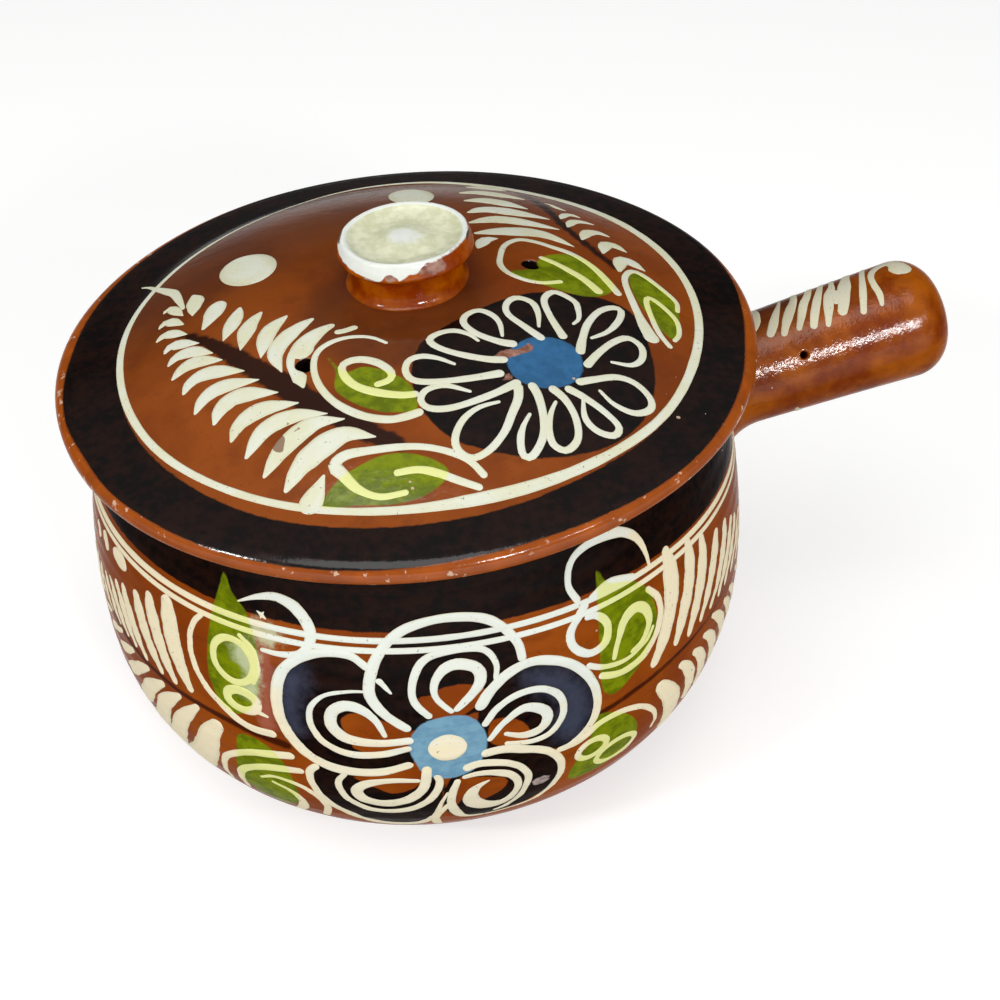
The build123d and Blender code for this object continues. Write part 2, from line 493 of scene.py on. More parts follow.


# Lead-glazed terracotta: warm clay seen through a clear, slightly pitted glaze. Clouds of orange and brown
# some centimetres wide, darker pores, pale lime specks, slip washes under the same glaze, painted shade and
# painted sheen where they are passed in as washes, and bare glossy clay at the lip.
def glazedEarthenware(name, tones, washes):
    material, tree, shader, place = startMaterial(name)
    stretched = add(tree, "Mapping", {"Vector": place, "Scale": tones["brushRun"]})
    noises = {}
    for key, where, sizeMm, detail in (
        ("cloud", place, tones["cloudMm"], 4.0), ("brush", stretched, 9.0, 4.0), ("patch", place, 14.0, 3.0),
        ("ripple", place, 5.5, 2.0), ("chip", place, 3.4, 3.0), ("fine", place, 2.6, 3.0),
        ("grain", place, 0.9, 2.0),
    ):
        settings = {"Vector": where, "Scale": 1000 / sizeMm, "Detail": detail, "Roughness": 0.57}
        noises[key] = add(tree, "TexNoise", settings)
    colour = tones["deep"]
    for key, low, high, strength, tone in (
        ("cloud", 0.34, 0.66, 1.0, "bright"), ("brush", 0.5, 0.72, 0.45, "streak"),
        ("grain", 0.64, 0.74, 0.5, "pore"),
    ):
        limits = {"Value": noises[key], "From Min": low, "From Max": high, "To Max": strength}
        share = add(tree, "MapRange", limits, interpolation_type="SMOOTHSTEP")
        colour = add(tree, "Mix", {0: share, 6: colour, 7: tones[tone]}, out=2, data_type="RGBA")
    for wash in washes:
        body = wash["colour"]
        if "thin" in wash:  # the wash thins along the brush marks
            mottled = add(tree, "Math", {0: noises["brush"], 1: noises["fine"]}, operation="ADD")
            limits = {"Value": mottled, "From Min": 0.78, "From Max": 1.22, "To Max": wash["thin"]}
            thinned = add(tree, "MapRange", limits, interpolation_type="SMOOTHSTEP")
            body = add(tree, "Mix", {0: thinned, 6: body, 7: wash["thinColour"]}, out=2, data_type="RGBA")
        share = covers(tree, wash, noises["fine"])
        colour = add(tree, "Mix", {0: share, 6: colour, 7: body}, out=2, data_type="RGBA")
    cells = {"Vector": place, "Scale": 1000 / tones["speckMm"], "Randomness": 1.0}
    speckPlace = add(tree, "TexVoronoi", cells, out="Distance")
    limits = {"Value": noises["patch"], "From Min": 0.56, "From Max": 0.75, "To Max": 0.12}
    speckSize = add(tree, "MapRange", limits)
    isSpeck = add(tree, "Math", {0: speckPlace, 1: speckSize}, operation="LESS_THAN")
    share = add(tree, "Math", {0: isSpeck, 1: 0.75}, operation="MULTIPLY")
    colour = add(tree, "Mix", {0: share, 6: colour, 7: tones["speck"]}, out=2, data_type="RGBA")
    limits = {"Value": noises["fine"], "From Min": 0.3, "From Max": 0.7, "To Min": 0.1, "To Max": 0.2}
    rough = add(tree, "MapRange", limits)
    shader.inputs["IOR"].default_value = tones["ior"]
    if "bare" in tones:  # clay that the slip washes leave open along the lip and under the foot
        bare = covers(tree, bareClay, noises["fine"])
        limits = {"Value": noises["brush"], "From Min": 0.35, "From Max": 0.7}
        share = add(tree, "MapRange", limits)
        dusty = add(tree, "Mix", {0: share, 6: tones["bareDeep"], 7: tones["bare"]}, out=2, data_type="RGBA")
        # Pale flecks in the bare clay: partly chips, partly painted glints along the lid's lip
        limits = {"Value": noises["chip"], "From Min": 0.62, "From Max": 0.66, "To Max": 0.75}
        share = add(tree, "MapRange", limits)
        dusty = add(tree, "Mix", {0: share, 6: dusty, 7: tones["chip"]}, out=2, data_type="RGBA")
        colour = add(tree, "Mix", {0: bare, 6: colour, 7: dusty}, out=2, data_type="RGBA")
    height = 0.0
    for key, share in tones["relief"].items():
        height = add(tree, "Math", {0: noises[key], 1: share, 2: height}, operation="MULTIPLY_ADD")
    bump = add(tree, "Bump", {"Strength": 0.6, "Distance": 0.0005, "Height": height})
    wornGloss(tree, shader, tones["glance"])
    tree.links.new(colour, shader.inputs["Base Color"])
    tree.links.new(rough, shader.inputs["Roughness"])
    tree.links.new(bump, shader.inputs["Normal"])
    return material


# Thick cream slip under glaze: buttery white, cooler and thinner at the edges of a stroke, yellow-green where
# it drags through wet green, brown where it has chipped off, faint iron specks, soft shine. The cool tint
# also falls in random patches and, on the wall, as a painted bluish reflection strongest on the flowers and
# up high.
def creamSlip(name, tones):
    material, tree, shader, place = startMaterial(name)
    noises = {}
    for key, sizeMm in (("cloud", 11.0), ("fine", 1.6), ("speck", 0.9)):
        settings = {"Vector": place, "Scale": 1000 / sizeMm, "Detail": 3.0, "Roughness": 0.6}
        noises[key] = add(tree, "TexNoise", settings)
    across = add(tree, "Attribute", out="Fac", attribute_name="across")
    # On the wall the cool layer carries a painted bluish reflection; the noise adds random cool patches
    coolAndReflectionShare = add(tree, "Attribute", out="Fac", attribute_name="cool")
    coolAndReflectionShare = add(tree, "Math", {0: noises["cloud"], 1: coolAndReflectionShare}, operation="ADD")
    edge = add(tree, "Math", {0: across}, operation="ABSOLUTE")
    colour = tones["warm"]
    for value, low, high, strength, tone in (
        (coolAndReflectionShare, 0.35, 0.65, 1.0, "cool"), (edge, 0.55, 1.0, 0.55, "thin"),
        (noises["speck"], 0.67, 0.71, 0.8, "speck"),
    ):
        limits = {"Value": value, "From Min": low, "From Max": high, "To Max": strength}
        share = add(tree, "MapRange", limits, interpolation_type="SMOOTHSTEP")
        colour = add(tree, "Mix", {0: share, 6: colour, 7: tones[tone]}, out=2, data_type="RGBA")
    for wash in slipOver:
        share = covers(tree, wash, noises["fine"])
        colour = add(tree, "Mix", {0: share, 6: colour, 7: wash["colour"]}, out=2, data_type="RGBA")
    limits = {"Value": noises["fine"], "From Min": 0.3, "From Max": 0.7, "To Min": 0.22, "To Max": 0.42}
    bump = add(tree, "Bump", {"Strength": 0.4, "Distance": 0.0003, "Height": noises["fine"]})
    shader.inputs["IOR"].default_value = 1.18
    wornGloss(tree, shader, (0.05, 0.32))
    tree.links.new(colour, shader.inputs["Base Color"])
    tree.links.new(add(tree, "MapRange", limits), shader.inputs["Roughness"])
    tree.links.new(bump, shader.inputs["Normal"])
    return material


# One layer of paint, some of them painted shade or painted sheen: its name on the mesh, half width of its
# soft edge and raggedness in mm, and its colour
def paintLayer(layer, soft, ragged, colour, **more):
    return dict(more, layer=layer, soft=soft, ragged=ragged, colour=colour)


blackWash = paintLayer("black", 0.3, 1.0, "#0d0807", thinColour="#2c150c", thin=0.5)
greenWash = paintLayer("green", 0.3, 0.6, "#7d8b0a", thinColour="#576508", thin=0.85)
blueWash = paintLayer("blue", 0.3, 0.9, "#366b98", thinColour="#285276", thin=0.6)
paleBlueWash = paintLayer("blue", 0.3, 0.9, "#7ba6bc", thinColour="#638dab", thin=0.7)
stemWash = paintLayer("stem", 0.7, 2.4, "#1c0c07", strength=0.93)
wallStemWash = paintLayer("stem", 0.5, 0.7, "#330f05", strength=0.9)
# Painted reflection: a slate-blue sheen laid over the black petals
paintedSheenWash = paintLayer("paintedSheen", 4.5, 6.0, "#4a5166", strength=0.6)
smearWash = paintLayer("smear", 2.0, 7.0, "#cfd6ae", strength=0.75)
# Painted reflection: a soft pinkish sheen laid on the clay beside the flower
rosySheenWash = paintLayer("rosySheen", 2.0, 5.0, "#b06a58", strength=0.6)
# Painted shade: a dark wash laid where the lid's back, the lid in front of the knob and the top of the handle
# fall into shade
paintedShadeWash = paintLayer("paintedShade", 1.0, 0.1, "#36241a", strength=0.5)
footWash = paintLayer("foot", 1.6, 1.0, "#7f3c0c")
worn = paintLayer("worn", 0.3, 1.6, "#7d4a36", thinColour="#b89080", thin=0.9)
bald = paintLayer("worn", 0.3, 1.6, "#8d7a78", thinColour="#c9b8b2", thin=0.9)
chipped = paintLayer("chip", 0.15, 0.5, "#54443a")
bareClay = {"layer": "bare", "soft": 0.5, "ragged": 1.6}
slipOver = (  # what lies under or on the strokes and tints them
    paintLayer("green", 0.5, 0.2, "#e6e98e", strength=0.8),
    paintLayer("black", 0.5, 0.2, "#dfe0d4", strength=0.3),
    paintLayer("worn", 0.12, 1.4, "#8a6a56", strength=0.9),
)
clayTones = {
    "cloudMm": 34.0, "brushRun": (1.0, 1.0, 3.0), "speckMm": 5.0, "ior": 1.18, "glance": (0.05, 0.32),
    "relief": {"ripple": 0.25, "fine": 0.25, "grain": 0.06},
    "deep": "#83390a", "bright": "#9a4b10", "streak": "#6f3310", "pore": "#5a290c", "speck": "#d9b9a2",
    "bare": "#ab5310", "bareDeep": "#8f420c", "chip": "#e0c0a6",
}
lidTones = dict(clayTones, deep="#7a370a", bright="#934813", streak="#652f10", brushRun=(1.0, 1.0, 1.0),
                ior=1.45, glance=(0.15, 0.5))
plainTones = {key: clayTones[key] for key in ("speckMm", "brushRun", "pore", "speck", "glance")}
handleTones = dict(plainTones, deep="#762c02", bright="#a2520a", streak="#823e0a", cloudMm=13.0, ior=1.45,
                   relief={"ripple": 0.3, "fine": 0.5, "grain": 0.25})
knobTones = dict(plainTones, deep="#8a3000", bright="#b85c02", streak="#984200", cloudMm=9.0, ior=1.5,
                 relief={"ripple": 0.2, "fine": 0.3, "grain": 0.1})
creamTones = {"warm": "#e0dfc0", "cool": "#e4e6d4", "thin": "#cdc6a2", "speck": "#6b5137"}
# Partly painted light: the wall's slip is a lighter copy of the cream, made brighter for the strong front
# light on the wall
litWallCream = dict(creamTones, warm="#f5e8c6", cool="#ebf0e6", thin="#d8cfae")
handleCream = dict(creamTones, warm="#d8d2b4", cool="#d2ceb8")
knobCream = paintLayer("cream", 0.2, 1.3, "#eef1ea", thinColour="#e2e6da", thin=0.5)
dishCream = paintLayer("dish", 1.2, 1.5, "#e4e5c8", thinColour="#cccda8", thin=0.8)

# Bowl

# Edges of four of the front flower's petals, followed both by the black fields and by the cream strokes
topPetal = ((-171.6, 52.8), (-177.6, 47.3), (-181.3, 40.5), (-180.2, 32.3), (-177.6, 26.6), (-173.6, 21.9),
            (-168.1, 19.1), (-160.1, 17.9), (-151.6, 19.1), (-146.1, 22.6), (-141.9, 29), (-140.9, 35.3))
rightPetal = ((-153.8, 48.2), (-150.2, 42.5), (-144.5, 37.7), (-137.4, 36.4), (-129.5, 39.8), (-123.8, 46),
              (-120.6, 53.9), (-120.6, 61.7), (-123.8, 67.4), (-128.8, 70.7))
lowLeftPetal = ((-197.4, 68.2), (-200.2, 72.2), (-199.5, 79.6), (-196.7, 86.7), (-191, 93.9), (-186, 98.9),
                (-178.6, 101.3), (-171.6, 99.6), (-167.4, 93.2))
leftPetal = ((-181, 32.3), (-186, 28.2), (-193.1, 28.2), (-199.5, 31), (-204.5, 36.1), (-206.7, 43.8),
             (-206.3, 53), (-202.4, 61.5), (-196.7, 66.7), (-189.5, 68.9), (-180.2, 68.5), (-171.7, 65.3))
frontFlower = {
    "centre": (
        (-162.6, 48.8), (-155.6, 50.3), (-152.1, 57.3), (-153.1, 65.3), (-156.6, 70.3), (-162.6, 72.3),
        (-168.6, 69.8), (-171.6, 63.3), (-172.1, 57.3), (-169.1, 51.3),
    ),
    "petals": (  # outlines of the five black petals
        topPetal + ((-145.6, 41.5), (-153.6, 48.3), (-162.6, 50.3)),
        rightPetal + ((-137.6, 68.3), (-146.6, 64.3), (-153.6, 62.3)),
        ((-153.1, 63.9), (-144.5, 65.3), (-136.7, 69.6), (-131.7, 76), (-131, 82.4), (-133.8, 88.9),
         (-140.2, 93.9), (-146.7, 96.7), (-155.6, 98.3), (-162.6, 93.3), (-164.6, 82.3), (-161.6, 71.3)),
        lowLeftPetal + ((-165.1, 82.3), (-165.6, 70.3), (-179.6, 68.8)),
        leftPetal + ((-170.6, 55.3), (-176.6, 47.3), (-181.1, 39.6)),
    ),
    "bare": (  # clay left open near the flower's centre, inside each petal
        ((-169.1, 42.4), (-165.6, 41), (-162.6, 39.1), (-157.6, 38.6), (-154.1, 39.6), (-151.6, 41.9),
         (-154.6, 46.8), (-159.6, 49.8), (-165.6, 49.3)),
        ((-150.5, 53), (-147, 52.4), (-144, 54), (-141, 57.5), (-140.5, 61), (-142, 63.4), (-148, 62.6),
         (-151.5, 60)),
        ((-159.6, 72.3), (-155.6, 73.3), (-151.1, 74.5), (-147.6, 76.3), (-147.1, 79.8), (-150.6, 83.8),
         (-154.6, 85.3), (-157.6, 80.3), (-161.1, 86.3), (-161.6, 78.3)),
        ((-188.6, 70.3), (-181.6, 69.3), (-172.6, 67.8), (-169.1, 68.3), (-170.6, 73.8), (-175.1, 77.3),
         (-178.6, 77.9), (-181.6, 75.9), (-185.6, 73.3)),
        ((-189.6, 50.3), (-186.6, 47.1), (-182.6, 47.3), (-178.6, 49.3), (-172.6, 52.3), (-170.6, 57.3),
         (-173.6, 60.8), (-181.6, 61.6), (-186.6, 59.8), (-187.6, 56.3)),
    ),
    "leaves": (
        ((-221.6, 11.1), (-219.1, 16.1), (-214.1, 21.6), (-211.6, 30.5), (-211.6, 40.3), (-213.6, 50.1),
         (-218.6, 56.1), (-224.1, 55.1), (-227.6, 47.2), (-227.6, 36.4), (-225.6, 24.6), (-223.6, 17.6)),
        ((-220.6, 64.7), (-213.6, 64.2), (-207.6, 70.2), (-205.6, 79.2), (-206.6, 90.2), (-211.6, 97.2),
         (-218.6, 98.2), (-223.6, 90.2), (-224.1, 80.2), (-222.1, 72.2)),
        ((-116.6, 15.6), (-114.1, 21.1), (-105.6, 25.1), (-100.3, 31.2), (-98.3, 41.2), (-101.3, 48.6),
         (-107.6, 55.3), (-114.6, 58.6), (-118.6, 54.3), (-118.6, 40.5), (-118.1, 29), (-117.6, 21.1)),
        ((-119.6, 63.8), (-111.6, 68.3), (-106.6, 75.3), (-105.6, 82.3), (-109.6, 88.3), (-119.6, 91.3),
         (-127.6, 89.3), (-127.6, 82.3), (-123.6, 74.3), (-121.6, 68.3)),
    ),
    "worn": (((-139.6, 81.8), (-137.6, 80.7), (-135.2, 81.3), (-134.2, 83.3), (-136.1, 85.1), (-139, 84.5)),),
    "smear": (
        ((-218.6, 30.5), (-213.6, 31.5), (-211.6, 36.4), (-211.6, 44.2), (-213.6, 50.1), (-216.6, 47.2),
         (-215.6, 40.3), (-218.6, 36.4)),
        ((-211.6, 22.6), (-205.6, 24.6), (-204.6, 27.5), (-208.6, 29.5), (-212.6, 27.5)),
    ),
    # painted reflection: pinkish sheen on the clay left of the flower
    "rosySheen": (
        ((-212.1, 28.5), (-208.1, 30), (-207.6, 38.3), (-208.1, 48.1), (-208.6, 58.1), (-212.6, 57.1),
         (-211.6, 45.2), (-211.1, 36.4)),
    ),
    # painted reflection: slate-blue sheen on the right petal and on the left petal's outer edge
    "paintedSheen": (((-141, 40), (-133, 40.5), (-126.5, 46.5), (-122.6, 54), (-122.4, 61), (-126, 67), (-131, 67.5),
               (-133.5, 62), (-131, 55.5), (-133, 49.5), (-138, 46)),
              ((-205.5, 37), (-200.5, 33), (-198, 38), (-200.5, 46), (-201, 56), (-204.5, 56), (-205.8, 47))),
    "stems": (  # (points, widths) of the dark midribs of the fronds
        (((-205.6, 62.8), (-215.6, 61.5), (-227.6, 60.1), (-244.2, 59.4), (-269.2, 57.2), (-299.2, 52.2)),
         (2.8, 2.2, 1.8, 1.5, 1.2)),
        (((-119.6, 63.5), (-104.6, 62.1), (-84.2, 60.9), (-59.2, 60.6), (-44.2, 62.6)),
         (1.9, 1.6, 1.2, 1.0)),
    ),
}
# Cream strokes on the wall, mm round and mm down: widths first, then the points
petalStrokes = (
    ((2.5, 3.4, 3, 2.7, 3, 2.5), topPetal),
    ((2.1, 2.3, 2.5, 2.1, 1.4), ((-166, 48.9), (-169.9, 43.3), (-170.2, 37.7), (-168.1, 31.6),
     (-164.5, 28.6), (-157.4, 27.5), (-151, 28.9), (-148.1, 33.8), (-148.5, 39.2))),
    ((1.7, 1.8, 3.2, 3.6, 3, 1.7), ((-160.2, 47.8), (-164.2, 42.5), (-164.5, 37.7), (-162, 33.4),
     (-158.1, 32), (-153.5, 34), (-152.4, 37.7), (-154.5, 41.8), (-159.8, 47.3))),
    ((3.4, 3, 3, 2.7, 2.5), rightPetal + ((-133.1, 71),)),
    ((2.1, 2.2, 2.3, 2.1, 1.4), ((-152.7, 54.2), (-148.8, 48.9), (-143.1, 45.7), (-136.7, 46),
     (-131.7, 50.3), (-130.6, 56.7), (-133.8, 62.4), (-139.5, 63.9), (-147.4, 62.1))),
    ((1.5, 2.3, 3.4, 3, 1.5), ((-151.7, 59.9), (-147.4, 54.6), (-141.7, 51), (-136.7, 53.2), (-135.2, 56.7),
     (-137.4, 60.3), (-142.4, 60.7), (-147.4, 58.2))),
    ((3.2, 3.0, 2.6, 2.4, 2.0, 1.2, 0.9), ((-153.8, 64.5), (-148, 64.2), (-141.5, 66.5), (-135.5, 69.8),
     (-131.8, 75.5), (-131.2, 81.8), (-133, 87.5), (-136.5, 93), (-140.8, 95.6), (-147.2, 97.6),
     (-153, 98.2))),
    ((2.7, 2.6, 2.4, 2.3, 2.0, 1.4), ((-158.8, 69.2), (-154.2, 68), (-148, 69.5), (-143.5, 72.8),
     (-141, 77.8), (-141.5, 82.8), (-143, 88), (-146.5, 93), (-150.5, 95.4))),
    ((1.6, 2.4, 2.6, 2.4, 2.2, 3.2, 5.6, 5.4, 3.4, 0.5), ((-159.2, 72.8), (-155.2, 72), (-150.8, 72.8),
     (-146.2, 75.2), (-144, 79.5), (-144.2, 84), (-146.5, 88.4), (-149.8, 90.2), (-153.6, 89.2),
     (-156.6, 85.6), (-157, 81.4), (-155, 77.8), (-151.8, 75.6))),
    ((1.8, 2.4, 2.6, 3.4, 2.2, 1.0), ((-160.2, 73.2), (-161.8, 78.5), (-162.5, 85), (-161, 92.5),
     (-158, 97), (-153, 98.2))),
    ((2.3, 2.5, 3, 3, 2.5), lowLeftPetal),
    ((1.8, 2.3, 2.7, 2.5, 2.1), ((-189.9, 69.9), (-192.4, 74.6), (-191, 81.7), (-186, 87.1), (-179.5, 88.5),
     (-172.4, 86), (-167.4, 80.3), (-165.2, 73.9), (-166, 70.3))),
    ((1.6, 2.5, 3.6, 3.9, 3, 2.5), ((-170.2, 72.4), (-177.4, 72.1), (-184.5, 73.9), (-187.7, 77.4),
     (-186, 81.7), (-180.2, 83.5), (-173.8, 81), (-169.5, 75.3), (-168.1, 66.7))),
    ((2.5, 3, 3.6, 3.6, 3.2, 2.7), leftPetal),
    ((0.8, 1.4, 2.2, 2.5, 2.3), ((-181, 39.5), (-186.7, 39.8), (-193.1, 41.8), (-197.4, 46.7),
     (-197.7, 53.2), (-194.5, 58.9), (-188.1, 62.1), (-180.2, 61.7), (-171.7, 59.2))),
    ((1.4, 3, 3.6, 3.6, 2.7, 2.3), ((-178.1, 55.3), (-180.2, 49.6), (-183.8, 45.7), (-188.1, 44.7),
     (-191.7, 47.4), (-192, 52.4), (-188.1, 56.4), (-180.2, 57.4), (-171, 56.4))),
    ((2.3, 0.7), ((-179.1, 35.3), (-175.6, 40.1))),
    ((0.8, 1.4, 2.4), ((-163.2, 78.8), (-165.2, 84.2), (-167.4, 94))),
    ((1.6, 2.2, 3.0, 2.4), ((-163, 85.2), (-165.5, 90), (-167.4, 95.8), (-166.6, 105))),
    oval((-162.4, 60.1), 5.1, 4.9, 0),
)
leafStrokes = (
    ((0.5, 1.6, 2.8, 3.6, 3.4, 2.6, 2.0, 1.4), ((-217.2, 18.2), (-211.6, 15.4), (-205.6, 14), (-200.1, 16),
     (-196.4, 21.1), (-196.4, 25.6), (-199.1, 29.5), (-204.6, 31), (-210.6, 31))),
    ((0.3, 1.3, 0.4), ((-211.4, 19.4), (-210, 20.2), (-208.5, 21.2))),
    ((0.3, 1.0, 0.3), ((-209.2, 19.2), (-209.8, 20.2), (-210.2, 21.4))),
    ((3.0, 2.8, 2.4, 2.2, 1.6), ((-208.1, 59.8), (-216.7, 59.8), (-223.8, 55.9), (-230.2, 50.1),
     (-233.4, 43.1), (-233.8, 35.9), (-232, 30.2), (-228.8, 26.2))),
    hoop(2.3, (-219.4, 37.6), 6.4, 7.1),
    ((1.4, 2.4, 2.2, 1.2), ((-217.2, 28), (-213.2, 32.1), (-212, 37.9), (-213.6, 43.6))),
    hoop(3.1, (-217.6, 50.6), 4.7, 3.4),
    ((2.2, 0.8), ((-213.4, 52.8), (-209.8, 53.8))),
    ((3.0, 2.6, 2.2, 2.0), ((-203.8, 66.6), (-212.4, 68.8), (-219.5, 71.6), (-226.7, 77.2), (-229.5, 83.1),
     (-231, 88.8), (-231.4, 94.8))),
    ((2.6, 2.8, 2.6, 2.2), ((-201.7, 72.2), (-209.5, 73.8), (-216.7, 76.6), (-223.1, 82.2), (-225.2, 89.5),
     (-225.2, 95.2))),
    ((1.0, 1.8, 2.4, 2.4), ((-216.7, 81.6), (-211.7, 78.8), (-205.2, 79.5), (-201, 82.2), (-198.1, 88.2),
     (-198.8, 93.9), (-201, 100.2))),
    ((1.0, 2.4, 3.4, 3.0), ((-213.1, 81.6), (-208.1, 84.5), (-205.6, 88.8), (-206.7, 95.2),
     (-210.2, 101.6))),
    ((2.2, 2.0, 2.4, 3.4, 2.2, 1.0), ((-123.5, 23.2), (-126, 16.8), (-123.8, 10.4), (-118.1, 7.9),
     (-109.5, 8.2), (-103.3, 11.9), (-100.1, 17.6), (-99, 24.1))),
    ((2.6, 2.6, 2.8, 2.2), ((-121, 24), (-126.7, 31), (-126.3, 36.4), (-121.7, 40.5), (-116.7, 39.2),
     (-115.6, 33.8), (-118.5, 29.6), (-122.4, 28.6))),
    ((2.4, 3.4, 2.4), ((-120.6, 24.1), (-113.6, 21.9), (-104.6, 24.1))),
    ((2.0, 2.6, 2.6, 2.2), ((-101.2, 29.8), (-97.2, 35.5), (-96.9, 41.9), (-99.7, 47.7), (-105.2, 51.7),
     (-112.4, 52.4), (-119.5, 49.6))),
    ((2.0, 1.8, 1.4, 1.0), ((-123.1, 44), (-117.4, 47.4), (-110.2, 48.9), (-103.3, 47), (-99.7, 43.3))),
    ((1.6, 2.2, 4.0, 3.0, 2.2, 1.6), ((-114.5, 46.7), (-112.4, 40.5), (-109.5, 35.1), (-105.2, 33.8),
     (-101.9, 36.9), (-101.5, 41.9), (-104.5, 46), (-108.8, 47.4))),
    ((2.4, 2.4, 2.0, 1.4), ((-131, 71), (-126, 70.7), (-119.5, 67.4), (-112.4, 67.4), (-105.2, 70.3),
     (-99.8, 76.2), (-97.7, 81.9), (-98.4, 86.2))),
    hoop(2.4, (-121.6, 76.9), 4.7, 3.7),
    hoop(2.2, (-112.6, 83.9), 6.9, 4.7),
)
